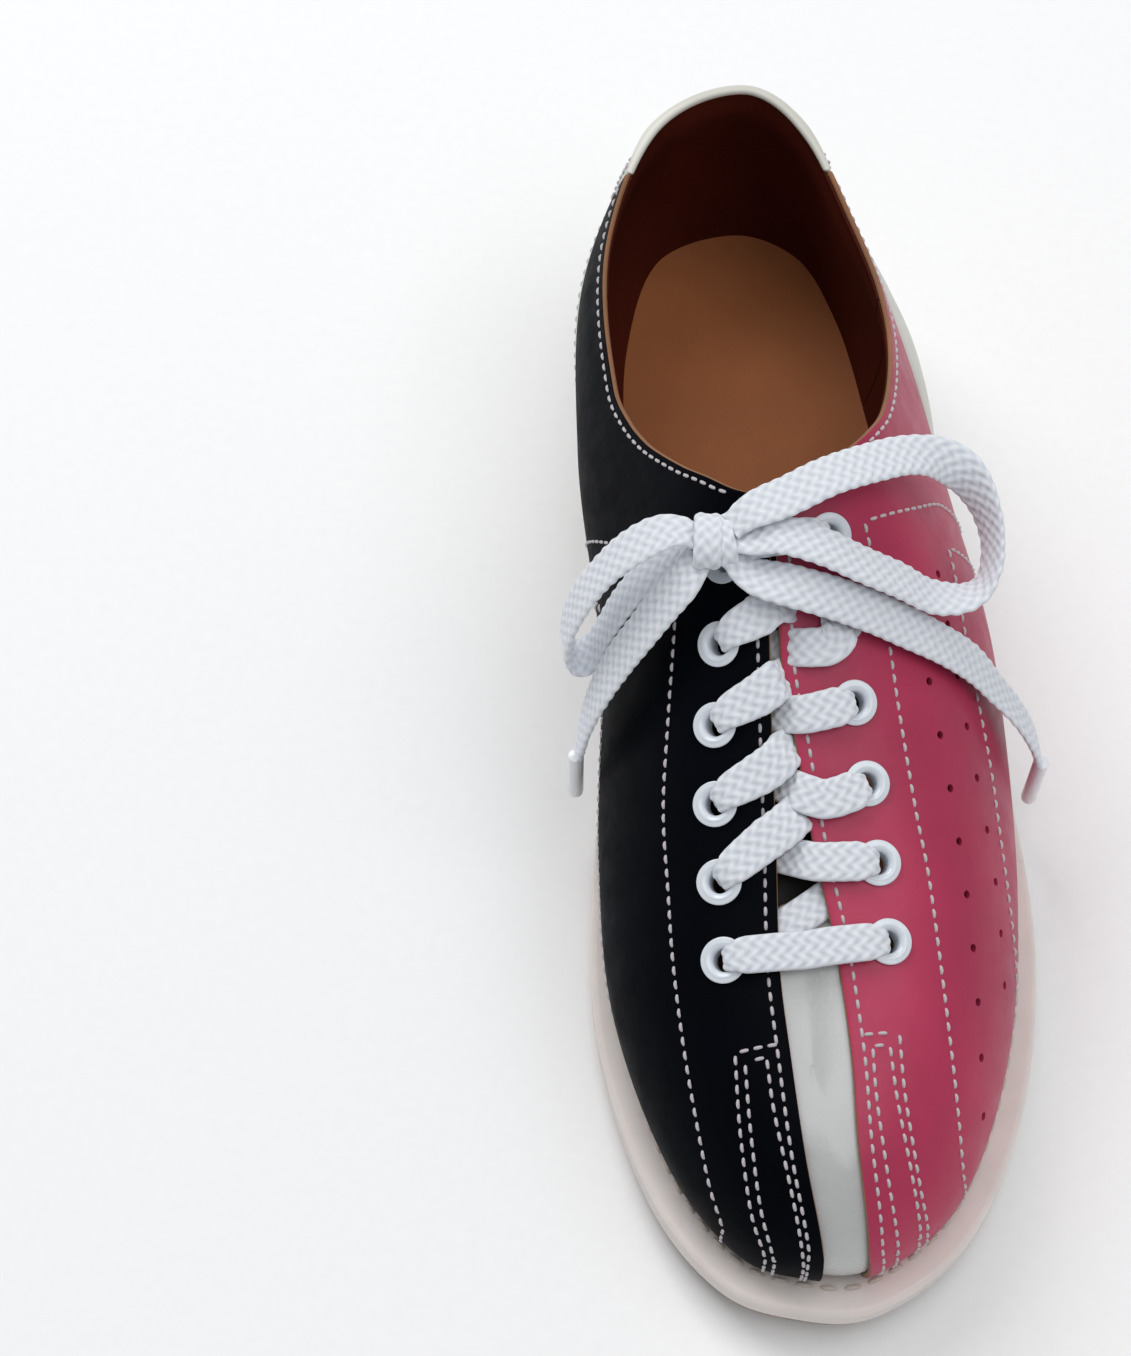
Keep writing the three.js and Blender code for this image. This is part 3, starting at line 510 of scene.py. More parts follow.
def surface_shader(tree, output, **values):
    names = {"colour": "Base Color", "roughness": "Roughness", "normal": "Normal", "metal": "Metallic",
             "ior": "IOR", "coat": "Coat Weight", "coat_roughness": "Coat Roughness",
             "sheen": "Sheen Weight",
             "sheen_roughness": "Sheen Roughness", "scatter": "Subsurface Weight",
             "scatter_radius": "Subsurface Radius", "scatter_scale": "Subsurface Scale",
             "specular": "Specular IOR Level"}
    shader = add(tree, "BsdfPrincipled", {names[key]: value for key, value in values.items()})
    tree.links.new(shader.outputs["BSDF"], output.inputs["Surface"])


def blend_colours(tree, factor, first, second):
    mix = add(tree, "Mix", {0: factor, 6: first, 7: second}, data_type="RGBA")
    return mix.outputs[2]


def finished_leather(name, colour, grain=0.9, roughness=0.34, coat=0.25, depth=0.05, fade=0.8, crease=0.0,
                     specular=0.5):
    """Smooth chrome-tanned leather with a pigmented, plated top coat.

    The plated grain is fine cells with a slight orange peel, the colour is a little uneven, and the
    gloss is broken where the coat has worn.
    """
    made, tree, output, place = new_material(name)
    cloud = add(tree, "TexNoise", {"Vector": place, "Scale": per_metre(38), "Detail": 4.0}).outputs["Fac"]
    patch = add(tree, "MapRange", {"Value": cloud, "From Min": 0.35, "From Max": 0.7}).outputs["Result"]
    tint = blend_colours(tree, patch, shade(colour, fade), shade(colour, 1.12))
    wear = add(tree, "TexNoise", {"Vector": place, "Scale": per_metre(7), "Detail": 6.0,
                                  "Roughness": 0.65}).outputs["Fac"]
    gloss = add(tree, "MapRange", {"Value": wear, "From Min": 0.3, "From Max": 0.75,
                                   "To Min": roughness - 0.06,
                                   "To Max": roughness + 0.12}).outputs["Result"]
    cells = add(tree, "TexVoronoi", {"Vector": place, "Scale": per_metre(grain)},
                feature="SMOOTH_F1").outputs["Distance"]
    peel = add(tree, "TexNoise", {"Vector": place, "Scale": per_metre(grain * 3),
                                  "Detail": 3.0}).outputs["Fac"]
    fine = add(tree, "Bump", {"Height": cells, "Strength": 0.35, "Distance": depth * MM})
    normal = add(tree, "Bump", {"Height": peel, "Strength": 0.5, "Distance": depth * 3 * MM,
                                "Normal": fine.outputs["Normal"]}).outputs["Normal"]
    if crease:
        stretched = add(tree, "Mapping", {"Vector": place, "Scale": (1.0, 0.3, 0.6)}).outputs["Vector"]
        folds = add(tree, "TexNoise", {"Vector": stretched, "Scale": per_metre(crease), "Detail": 5.0,
                                       "Distortion": 1.2}).outputs["Fac"]
        normal = add(tree, "Bump", {"Height": folds, "Strength": 0.6, "Distance": 0.35 * MM,
                                    "Normal": normal}).outputs["Normal"]
    surface_shader(tree, output, colour=tint, roughness=gloss, normal=normal, coat=coat,
                   coat_roughness=0.22, ior=1.5, specular=specular)
    return made


def raw_leather(name, colour, grain=0.6, roughness=0.8, contrast=0.35, sheen=0.15, specular=0.5):
    """Undyed or dyed-through leather without a coat: a matt, fibrous nap with darker rubbed patches."""
    made, tree, output, place = new_material(name)
    nap = add(tree, "TexNoise", {"Vector": place, "Scale": per_metre(grain), "Detail": 8.0,
                                 "Roughness": 0.7}).outputs["Fac"]
    rubbed = add(tree, "TexNoise", {"Vector": place, "Scale": per_metre(26), "Detail": 3.0}).outputs["Fac"]
    both = add(tree, "Math", {0: nap, 1: rubbed}, operation="MULTIPLY").outputs[0]
    share = add(tree, "MapRange", {"Value": both, "From Min": 0.12, "From Max": 0.42}).outputs["Result"]
    tint = blend_colours(tree, share, shade(colour, 1 - contrast), shade(colour, 1.1))
    normal = add(tree, "Bump", {"Height": nap, "Strength": 0.5, "Distance": 0.15 * MM}).outputs["Normal"]
    surface_shader(tree, output, colour=tint, roughness=roughness, normal=normal, sheen=sheen,
                   sheen_roughness=0.5, specular=specular)
    return made


def moulded_rubber(name, colour, roughness=0.5, scatter=0.0):
    """Injection-moulded thermoplastic rubber: fine spark-eroded skin, slightly mottled, dirt in patches."""
    made, tree, output, place = new_material(name)
    mottle = add(tree, "TexNoise", {"Vector": place, "Scale": per_metre(11), "Detail": 6.0}).outputs["Fac"]
    dirt = add(tree, "TexNoise", {"Vector": place, "Scale": per_metre(2.2), "Detail": 8.0,
                                  "Roughness": 0.75}).outputs["Fac"]
    spots = add(tree, "MapRange", {"Value": dirt, "From Min": 0.6, "From Max": 0.75,
                                   "To Max": 0.5}).outputs["Result"]
    base = blend_colours(tree, mottle, shade(colour, 0.86), shade(colour, 1.06))
    tint = blend_colours(tree, spots, base, shade(colour, 0.7))
    skin = add(tree, "TexNoise", {"Vector": place, "Scale": per_metre(0.5), "Detail": 4.0}).outputs["Fac"]
    normal = add(tree, "Bump", {"Height": skin, "Strength": 0.35, "Distance": 0.08 * MM}).outputs["Normal"]
    surface_shader(tree, output, colour=tint, roughness=roughness, normal=normal, scatter=scatter,
                   scatter_radius=(1.0, 0.6, 0.45), scatter_scale=0.003, ior=1.5)
    return made


def braided_cotton(name, colour):
    """Flat-braided cotton lace: soft, matt, with a painted bluish shade in the hollows between the plaits,
    fine yarn lines.
    """
    made, tree, output, place = new_material(name)
    relief = add(tree, "Attribute", attribute_name="relief").outputs["Fac"]
    # Painted shade: where the braid's relief is low, in the hollows between the plaits, the colour is darker
    # and bluish.
    painted_hollow_shade = [c * t for c, t in zip(colour, (0.7, 0.72, 0.76))]
    tint = blend_colours(tree, relief, shade(painted_hollow_shade, 1.0), shade(colour, 1.0))
    yarn = add(tree, "TexNoise", {"Vector": place, "Scale": per_metre(0.35), "Detail": 5.0,
                                  "Roughness": 0.7}).outputs["Fac"]
    normal = add(tree, "Bump", {"Height": yarn, "Strength": 0.5, "Distance": 0.2 * MM}).outputs["Normal"]
    surface_shader(tree, output, colour=tint, roughness=0.92, normal=normal, sheen=0.35,
                   sheen_roughness=0.6, scatter=0.08, scatter_radius=(1.0, 1.0, 1.0), scatter_scale=0.001)
    return made


def twisted_thread(name, colour):
    """Bonded polyester sewing thread: faint twist lines and a low lustre."""
    made, tree, output, place = new_material(name)
    twist = add(tree, "TexWave", {"Vector": place, "Scale": per_metre(0.6), "Distortion": 2.0},
                bands_direction="DIAGONAL").outputs["Fac"]
    tint = blend_colours(tree, twist, shade(colour, 0.78), shade(colour, 1.05))
    normal = add(tree, "Bump", {"Height": twist, "Strength": 0.4, "Distance": 0.1 * MM}).outputs["Normal"]
    surface_shader(tree, output, colour=tint, roughness=0.6, normal=normal, sheen=0.2)
    return made


def fired_enamel(name, colour):
    """White stoved enamel on pressed brass: a hard, smooth gloss with a faint orange peel."""
    made, tree, output, place = new_material(name)
    peel = add(tree, "TexNoise", {"Vector": place, "Scale": per_metre(1.6), "Detail": 2.0}).outputs["Fac"]
    tint = blend_colours(tree, peel, shade(colour, 0.93), shade(colour, 1.0))
    normal = add(tree, "Bump", {"Height": peel, "Strength": 0.15, "Distance": 0.1 * MM}).outputs["Normal"]
    surface_shader(tree, output, colour=tint, roughness=0.22, normal=normal, coat=0.4, coat_roughness=0.1)
    return made


def rolled_steel(name):
    """Cold-rolled spring steel: fine lengthwise rolling lines and a grey metal gloss."""
    made, tree, output, place = new_material(name)
    drawn = add(tree, "Mapping", {"Vector": place, "Scale": (1.0, 0.03, 1.0)}).outputs["Vector"]
    lines = add(tree, "TexNoise", {"Vector": drawn, "Scale": per_metre(0.4), "Detail": 6.0}).outputs["Fac"]
    rough = add(tree, "MapRange", {"Value": lines, "To Min": 0.28, "To Max": 0.5}).outputs["Result"]
    tint = blend_colours(tree, lines, (*linear("85888c"), 1.0), (*linear("b4b7ba"), 1.0))
    surface_shader(tree, output, colour=tint, roughness=rough, metal=1.0)
    return made


def pressed_board(name, code):
    """Pressed cellulose board or cork mix: flecked, dry and matt."""
    made, tree, output, place = new_material(name)
    fleck = add(tree, "TexVoronoi", {"Vector": place, "Scale": per_metre(1.4)}).outputs["Color"]
    grey = add(tree, "RGBToBW", {"Color": fleck}).outputs["Val"]
    tint = blend_colours(tree, grey, shade(linear(code), 0.75), shade(linear(code), 1.1))
    normal = add(tree, "Bump", {"Height": grey, "Strength": 0.4, "Distance": 0.15 * MM}).outputs["Normal"]
    surface_shader(tree, output, colour=tint, roughness=0.95, normal=normal)
    return made


MATERIALS = {}


def make_materials(colours):
    """All the finishes, by the piece they are for."""
    MATERIALS.update(
        navy=finished_leather("plated_navy_leather", colours.navy, roughness=0.55, coat=0.0, fade=0.7,
                              specular=0.04),
        crimson=finished_leather("plated_crimson_leather", colours.crimson, roughness=0.45, coat=0.05,
                                 fade=0.85, specular=0.3),
        cream=finished_leather("glazed_cream_leather", colours.cream, roughness=0.26, coat=0.5, crease=9,
                               fade=0.88),
        white=finished_leather("pigmented_white_leather", colours.white, roughness=0.42, coat=0.15,
                              fade=0.92),
        lining=raw_leather("dyed_pigskin_lining", colours.lining, grain=0.7, roughness=0.7, sheen=0.0,
                           specular=0.1),
        tan=raw_leather("raw_leather_edge", colours.tan, grain=0.4),
        sock=raw_leather("sheepskin_sock_leather", linear("9b5c34"), grain=0.5, roughness=0.62,
                         contrast=0.12, sheen=0.05, specular=0.25),
        # The tongue is cream leather lying in shade under the lace; its near-black brown colour here is
        # painted shade.
        tongue=finished_leather("painted_shade_tongue_leather", linear("1b1613"), grain=1.1, roughness=0.55,
                                coat=0.0, specular=0.2),
        sole=moulded_rubber("moulded_beige_sole", colours.sole, roughness=0.42, scatter=0.25),
        slide=raw_leather("buffed_slide_suede", colours.slide, grain=0.9, roughness=0.95),
        rubber=moulded_rubber("black_heel_rubber", colours.rubber, roughness=0.85),
        lace=braided_cotton("braided_cotton", colours.lace),
        thread=twisted_thread("seam_thread", colours.thread),
        welt_thread=twisted_thread("waxed_welt_thread", linear("d3c6bb")),
        enamel=fired_enamel("white_stoved_enamel", colours.enamel),
        aglet=fired_enamel("acetate_aglet_film", linear("f1f3f6")),
        steel=rolled_steel("cold_rolled_spring_steel"),
        board=pressed_board("pressed_fibre_board", "b9a98a"),
        foam=pressed_board("cork_filler", "c9b58b"))


# ---------------------------------------------------------------- stitching

def along(u, phi, step=0.4):
    """The same row of places, evenly spaced."""
    p = surface(u, phi)
    run = lengths(p, 0)
    want = np.arange(0, run[-1], step)
    return np.interp(want, run, u), np.interp(want, run, phi)


def to_sole(row):
    """The same row carried on from its end down to the sole."""
    u, phi = row
    more = np.linspace(phi[-1], 0.04, 20)[1:]
    return np.concatenate([u, np.full(more.shape, u[-1])]), np.concatenate([phi, more])


def side_row(side, points):
    """Row of places on the wall through (y of the section's foot, phi)."""
    dense = open_spline(np.array(points, float), 24)
    return section_at(side, dense[:, 0]), np.clip(dense[:, 1], 0.03, None)


# The saddle's stitch row on the outer side, as (y of the section's foot, phi); half as high on the inner.
SADDLE = [(24, 0.04), (20, 0.4), (16.6, 0.66), (-5, 0.68), (-33.8, 0.60), (-50, 0.55), (-64, 0.45),
          (-74, 0.32),     (-82, 0.17), (-87, 0.04)]


def plan_row(points):
    """Row of places above a curve in plan, or above a straight line where it has two points."""
    p = np.array(points, float)
    if len(p) > 2:
        dense = open_spline(p, 24)
    else:
        dense = np.linspace(*p, 30)
    return locate(dense[:, 0], dense[:, 1])


def open_spline(points, per_span):
    """Catmull-Rom curve through points, open at both ends."""
    p = np.concatenate([[2 * points[0] - points[1]], points, [2 * points[-1] - points[-2]]])
    t = np.linspace(0, 1, per_span, endpoint=False)[:, None]
    spans = [0.5 * (2 * b + (c - a) * t + (2 * a - 5 * b + 4 * c - d) * t ** 2
                    + (3 * b - a - 3 * c + d) * t ** 3)
             for a, b, c, d in zip(p, p[1:], p[2:], p[3:])]
    return np.concatenate([*spans, points[-1:]])


def stitch_solids(centres, normals, thread, pitch, length, low=-0.35, high=0.12):
    """Stitches along a line: each a short thread that comes up out of the leather and goes back in."""
    run = lengths(centres, 0)
    starts = np.arange(0.4, run[-1] - length, pitch)
    rings = np.linspace(0, 1, 7)
    at = starts[:, None] + rings[None, :] * length
    where = np.stack([np.interp(at, run, centres[:, k]) for k in range(3)], axis=-1)
    up = unit(np.stack([np.interp(at, run, normals[:, k]) for k in range(3)], axis=-1))
    ahead = unit(np.gradient(where, axis=1))
    side = unit(np.cross(ahead, up))
    bow = np.sin(np.pi * rings) ** 0.6
    where = where + up * (low + (high - low) * bow)[None, :, None]
    angle = np.linspace(0, 2 * np.pi, 8, endpoint=False)
    radius = thread / 2 * (0.55 + 0.45 * bow)
    points = (where[:, :, None] + radius[None, :, None, None]
              * (np.cos(angle)[:, None] * side[:, :, None] + np.sin(angle)[:, None] * up[:, :, None]))
    count, rows, sides = points.shape[:3]
    i, k = np.meshgrid(np.arange(rows - 1), np.arange(sides), indexing="ij")
    nxt = (k + 1) % sides
    one = np.stack([i * sides + k, i * sides + nxt, (i + 1) * sides + nxt, (i + 1) * sides + k], axis=-1)
    caps = [[0, 1, 2, 3], [0, 3, 4, 7], [4, 5, 6, 7]]
    last = (rows - 1) * sides
    ends = np.array(caps + [[last + c for c in cap[::-1]] for cap in caps])
    one = np.concatenate([one.reshape(-1, 4), ends])
    faces = one[None] + np.arange(count)[:, None, None] * rows * sides
    return points.reshape(-1, 3), faces.reshape(-1, 4)


def seam(name, rows, material, body="shoe", slot="lace_cotton", **kind):
    """All the stitches of one seam, along rows of places."""
    sizes = bpy.context.scene.shoe_sizes
    values = {"thread": sizes.thread / MM, "pitch": sizes.stitch_pitch / MM,
              "length": sizes.stitch_length / MM, **kind}
    parts = []
    for u, phi in rows:
        u, phi = along(u, phi)
        parts.append(stitch_solids(surface(u, phi), surface_normal(u, phi), **values))
    points, faces = joined(parts)
    made = build(name, points, faces, [material], merge=0)
    return finish_piece(made, body, slot)


# ---------------------------------------------------------------- the upper

def edge_line(side, back=0.0):
    return lambda y: ease(y, EDGE[side]) + side * back


def panel_top(u, side, back=0.0):
    """Upper edge of a panel on each section: front edge, throat, then topline."""
    y = rim(u)[1]
    front = phi_at_line(u, edge_line(side, back), side)
    height = phi_at_height(u, ease(np.maximum(y, 24), TOPLINE[side]))
    share = np.clip((y - 36) / 12, 0, 1)
    top = ease(y, THROAT[side]) + (height - ease(y, THROAT[side])) * share ** 2 * (3 - 2 * share)
    top = top - back * 0.013
    return np.where(SPINE * y < THROAT_Y - back * 0.6, front, np.minimum(front, top))


def panel_low(u, side):
    y = rim(u)[1]
    return np.where(y < COUNTER_Y - 4, 0.0, phi_at_height(u, ease(y, COUNTER[side]) + SEAM))


def eyelet_places(side):
    t = np.linspace(0, 1, 6)
    if side < 0:
        return locate(ease(t, [(0, -25.4), (0.4, -25.6), (1, -21.8)]), -79.5 + 82 * t)
    return locate(ease(t, [(0, 10.6), (0.4, 7.8), (1, 1.6)]), -77 + 83 * t)


def perforations(side):
    """Two curved rows of air holes, a centimetre apart."""
    inner_y = 3 - 11.2 * np.arange(11)
    outer_y = 6.5 - 10.8 * np.arange(9)
    inner_x = ease(-inner_y, [(-3, 20), (40, 27.3), (75, 30.6), (109, 31.3)])
    outer_x = ease(-outer_y, [(-6.5, 28.3), (25, 33), (58, 38), (80, 38.8)])
    u, phi = locate(np.concatenate([inner_x, outer_x]), np.concatenate([inner_y, outer_y]))
    return (u, phi) if side > 0 else (section_at(-1, rim(u)[1]), phi)


def pins(u, phi, radius, low, high, segments):
    points = surface(u, phi)
    normals = surface_normal(u, phi)
    profile = [(0.001, low), (radius, low), (radius, high), (0.001, high)]
    return [turned(profile, segments, p, n) for p, n in zip(points, normals)]


def panel_sections(side):
    rear = float(section_at(side, COLLAR_Y[side] - 0.5))
    first = float(section_at(side, -120))
    corner = float(bisect(first, TOE_U, lambda v: panel_top(np.atleast_1d(v), side)[0] > 0.03))
    return even_sections(rear, corner, 330, lambda u: panel_top(u, side))


def make_panel(side):
    name, material, slot = {-1: ("navy_panel", "navy", "navy_leather"),
                            1: ("crimson_panel", "crimson", "crimson_leather")}[side]
    u = panel_sections(side)
    phi = section_rows(u, panel_low(u, side), panel_top(u, side), 60)
    made = leather_piece(name, u[:, None], phi, 0.0, UPPER, leather(material, "tan"))
    hole = bpy.context.scene.shoe_sizes.perforation / MM / 2
    tools = pins(*eyelet_places(side), EYELET_HOLE, -5, 4, 40)
    if side > 0:
        tools += pins(*perforations(side), hole, -3, 2, 14)
    points, faces = joined(tools)
    boolean(made, build("cutter", points, faces, [MATERIALS[material]]), "DIFFERENCE")
    node = "medial_panel" if side < 0 else "lateral_panel"
    return finish_piece(made, "shoe", slot, node)


def topline_row(side, down):
    """Row of places a distance down from the topline, from the throat to the collar."""
    u = np.linspace(float(section_at(side, 19.5)), float(section_at(side, COLLAR_Y[side] - 1.2)), 160)
    return below(u, panel_top(u, side), down)


def below(u, top, down):
    fine = top[:, None] - np.linspace(0, 0.5, 60) * np.minimum(top, 1)[:, None]
    run = lengths(surface(u[:, None], fine), 1)
    return u, np.array([np.interp(down, r, f) for r, f in zip(run, fine)])


def above(u, low, up):
    fine = low[:, None] + np.linspace(0, 0.6, 60)
    run = lengths(surface(u[:, None], fine), 1)
    return u, np.array([np.interp(up, r, f) for r, f in zip(run, fine)])


def panel_seams(side):
    """Stitch rows of one panel."""
    y = np.linspace(10.5, -138, 120)
    front = locate(edge_line(side, 2.9)(y), y)
    saddle = [(foot, max(phi * (0.5 if side < 0 else 1.0), 0.04)) for foot, phi in SADDLE]
    rows = [to_sole(front), topline_row(side, 3.0), side_row(side, saddle[:3]), side_row(side, saddle[2:])]
    if side < 0:
        rows += [side_row(side, [(38, 0.04), (34, 0.22), (22, 0.55), (12, 0.76), (7, 0.93)]),
                 to_sole(plan_row([(-33.5, 7), (-32, 1), (-34.7, -24), (-36.7, -44), (-36.5, -62),
                                   (-36, -79), (-34, -100), (-30.6, -121), (-27.4, -131)])),
                 plan_row([(-14.5, -98), (-24, -99)]),
                 to_sole(plan_row([(-24, -99), (-23.6, -115), (-21.8, -130), (-18.7, -138)])),
                 plan_row([(-17.4, -100.6), (-22, -101.2)]),
                 to_sole(plan_row([(-22, -101.2), (-21.4, -116), (-19.8, -130), (-16.8, -139)])),
                 to_sole(plan_row([(-17.4, -100.6), (-16.4, -112), (-14, -125), (-10.6, -140)]))]
    else:
        rows += [side_row(side, [(34, 0.04), (31, 0.35), (28, 0.6), (21, 0.85), (12.5, 1.17)]),
                 to_sole(plan_row([(10.0, 10.5), (14, -9.5), (16, -27), (18.6, -48), (20.7, -62),
                                   (22.3, -82), (23.6, -100), (25.3, -120), (27, -124)])),
                 plan_row([(3.4, -96.6), (11.7, -96)]),
                 to_sole(plan_row([(11.7, -96), (12.2, -110), (14.6, -125.6), (17.3, -134)])),
                 plan_row([(5.6, -99), (9.4, -98.6)]),
                 to_sole(plan_row([(9.4, -98.6), (10.4, -110.6), (12.8, -124), (15.6, -136)])),
                 to_sole(plan_row([(5.6, -99), (5.8, -111), (7.6, -126.5), (10.4, -139)]))]
    return rows


def vault(start_y, count, across):
    """Grid over the forefoot whose sections join across the ridge and close up at the toe's tip."""
    t = np.linspace(0, 1, count + 1)
    first = float(section_at(1, start_y / SPINE))
    outer_u = TOE_U - (TOE_U - first) * (1 - t) ** 1.5
    inner_u = section_at(-1, rim(outer_u)[1])
    inner_u[-1] = TOE_U
    share = np.linspace(0, 1, across + 1)
    inner = np.array([even_phis(v, 0.01, QUARTER_TURN, share) for v in inner_u])
    outer = np.array([even_phis(v, 0.01, QUARTER_TURN, share) for v in outer_u])[:, ::-1]
    u = np.concatenate([np.repeat(inner_u[:, None], across, 1),
                        np.repeat(outer_u[:, None], across + 1, 1)], 1)
    return u, np.concatenate([inner[:, :-1], outer], 1)


def even_phis(u, low, high, share):
    fine = np.linspace(low, high, 121)
    run = lengths(surface(np.full(121, u), fine), 0)
    return np.interp(share * run[-1], run, fine)


def make_strip():
    u, phi = vault(-66, 150, 44)
    under_lace = np.clip((surface(u, phi)[..., 1] + 80) / 14, 0, 1)
    out = -STRIP_DEPTH - STRIP_DIP * under_lace ** 2 * (3 - 2 * under_lace)
    made = leather_piece("cream_strip", u, phi, out, STRIP, leather("cream", "tan"),
                         plain=("low", "high", "last"), seamless=("last",))
    even = made.modifiers.new("even", "SMOOTH")
    even.iterations = 10
    y = np.linspace(-160, -50, 40)
    lap = 6
    inner = np.stack([ease(y, EDGE[-1]) - lap, y], 1)
    outer = np.stack([ease(y, EDGE[1]) + lap, y], 1)[::-1]
    loop = np.concatenate([inner, outer])
    count = len(loop)
    points = np.concatenate([np.column_stack([loop, np.full(count, z)]) for z in (0.0, 120.0)])
    ring = np.arange(count)
    nxt = (ring + 1) % count
    sides = np.stack([ring, nxt, nxt + count, ring + count], 1).tolist()
    faces = [list(ring[::-1]), list(ring + count)] + sides
    boolean(made, build("cutter", points, faces, [MATERIALS["cream"]]), "INTERSECT")
    return finish_piece(made, "shoe", "cream_leather", "vamp_strip")


def around_heel(y_outer, y_inner, count, edge):
    first = float(section_at(1, y_outer)) + COUNT
    last = float(section_at(-1, y_inner))
    return even_sections(first, last, count, edge)


def counter_edge(gap):
    return lambda u: phi_at_height(u, by_side(u, COUNTER, rim(u)[1]) + gap)


def topline_edge(u):
    return phi_at_height(u, by_side(u, TOPLINE, rim(u)[1]))


def make_heel():
    cover = around_heel(COUNTER_Y - 2, COUNTER_Y - 2, 200, lambda u: np.zeros(u.shape))
    phi = section_rows(cover, np.zeros(cover.shape), np.maximum(counter_edge(-SEAM)(cover), 0.05), 34)
    most = 1.5 + 3.5 * np.clip(rim(cover)[0] / 25, 0, 1)[:, None]
    puff = lambda d: most * np.sin(np.pi * np.clip(d / 34, 0, 1)) ** 0.7
    made = leather_piece("white_counter_cover", cover[:, None], phi, 0.0, UPPER,
                         leather("white"), swell=puff)
    finish_piece(made, "shoe", "white_leather", "heel_counter_cover")
    collar = around_heel(COLLAR_Y[1], COLLAR_Y[-1], 150, topline_edge)
    phi = section_rows(collar, counter_edge(SEAM)(collar), topline_edge(collar), 30)
    roll = lambda d: 0.9 * np.exp(-((d - 2.2) / 1.8) ** 2) + 0.5 * np.clip(d / 8, 0, 1)
    made = leather_piece("white_heel_collar", collar[:, None], phi, 0.0, COLLAR,
                         leather("white"), swell=roll)
    finish_piece(made, "shoe", "white_leather", "heel_collar")
    middle = cover[12:-12]
    rows = [above(collar, counter_edge(SEAM)(collar), 2.4), below(middle, counter_edge(-SEAM)(middle), 2.4)]
    for side in (1, -1):
        for back in (2.2, 4.4):
            u = float(section_at(side, COLLAR_Y[side] + back))
            u = np.full(60, u + (COUNT if side > 0 else 0))
            low, high = counter_edge(2.5)(u[:1])[0], topline_edge(u[:1])[0] - 0.006
            rows.append((u, np.linspace(low, high, 60)))
    seam("heel_stitching", rows[:2], MATERIALS["thread"], high=0.5, low=-0.1)
    seam("collar_stitching", rows[2:], MATERIALS["thread"], high=0.4, low=-0.2)


def make_linings():
    pull = lambda d: 1.9 * np.exp(-(d / 5.0) ** 2)
    for side, name, node in ((-1, "medial_lining", "medial_quarter_lining"),
                             (1, "lateral_lining", "lateral_quarter_lining")):
        top = lambda u: panel_top(u, side, 0.9)
        u = even_sections(float(section_at(side, 84)), float(section_at(side, -97)), 220, top)
        phi = section_rows(u, np.full(u.shape, FOOT_PHI), top(u), 40)
        made = leather_piece(name, u[:, None], phi, -LINING_DEPTH, LINING, leather("lining"),
                             plain=("low", "first"), shift=pull)
        points, faces = joined(pins(*eyelet_places(side), LINING_HOLE, -8, 4, 24))
        boolean(made, build("cutter", points, faces, [MATERIALS["lining"]]), "DIFFERENCE")
        finish_piece(made, "shoe", "lining", node)
    top = lambda u: topline_edge(u) - 0.009
    u = around_heel(84.3, 84.3, 160, top)
    phi = section_rows(u, np.full(u.shape, FOOT_PHI), top(u), 40)
    made = leather_piece("back_lining", u[:, None], phi, -LINING_DEPTH, LINING, leather("lining"),
                         plain=("low", "first", "last"), shift=pull)
    finish_piece(made, "shoe", "lining", "heel_lining")


def make_stiffener():
    """Pressed board between the upper and the lining, round the heel."""
    top = counter_edge(-4)
    u = around_heel(62, 62, 120, top)
    phi = section_rows(u, np.full(u.shape, FOOT_PHI), top(u), 20)
    made = leather_piece("heel_stiffener", u[:, None], phi, -STIFFENER_DEPTH, STIFFENER, leather("board"))
    finish_piece(made, "shoe", "stiffener_board", "counter_stiffener")


def across_ridge(front, back, count, half_width, across):
    """Grid across the ridge, reaching half a width to each side."""
    y = np.linspace(front, back, count)
    share = np.linspace(0, 1, across + 1)
    parts = []
    for side in (-1, 1):
        u = section_at(side, y / SPINE)
        low = [float(phi_at_line(np.atleast_1d(v), lambda _, c=c: c, side)[0])
               for v, c in zip(u, ridge_x(y) + side * half_width(y))]
        phi = np.array([even_phis(v, a, QUARTER_TURN, share) for v, a in zip(u, low)])
        grid = np.repeat(u[:, None], across + 1, 1)
        parts.append((grid[:, :-1], phi[:, :-1]) if side < 0 else (grid[:, ::-1], phi[:, ::-1]))
    return np.concatenate([parts[0][0], parts[1][0]], 1), np.concatenate([parts[0][1], parts[1][1]], 1)


def make_tongue():
    width = lambda y: ease(y, [(-71, 15), (-30, 22), (5, 23), (11, 17)])
    u, phi = across_ridge(-71, 11, 70, width, 24)
    made = leather_piece("padded_tongue", u, phi, -TONGUE_DEPTH, TONGUE, leather("tongue"))
    finish_piece(made, "tongue", "tongue_leather", "tongue_outer")
    u, phi = across_ridge(-70, 10, 60, lambda y: width(y) - 1, 20)
    made = leather_piece("tongue_back", u, phi, -TONGUE_BACK_DEPTH, LINING, leather("lining"))
    finish_piece(made, "tongue", "lining", "tongue_lining")


# ---------------------------------------------------------------- the sole

def tread_z(y):
    return ease(y, [(-147, 6.5), (-120, 1.8), (-90, 0), (-20, 0), (20, 2.2), (72, 8)])


def midsole_bottom(y):
    return ease(y, [(-147, 9.4), (-120, 4.7), (-90, 2.9), (-20, 2.9), (20, 5.1), (72, 10.9), (84, 13.2),
                    (147, 13.2)])


def ring_sections(count=260):
    """Sections all round the outline; each outer one has an inner partner at the same place."""
    share = (1 - np.cos(np.linspace(0, np.pi, count))) / 2
    outer = HEEL_U + (TOE_U - HEEL_U) * (0.6 * np.linspace(0, 1, count) + 0.4 * share)
    y = rim(outer)[1]
    inner = bisect(np.full(y.shape, HEEL_U + COUNT), TOE_U, lambda u: rim(u)[1] > y)
    inner[0] = HEEL_U + COUNT
    inner[-1] = TOE_U
    return np.concatenate([outer, inner[1:-1][::-1]])


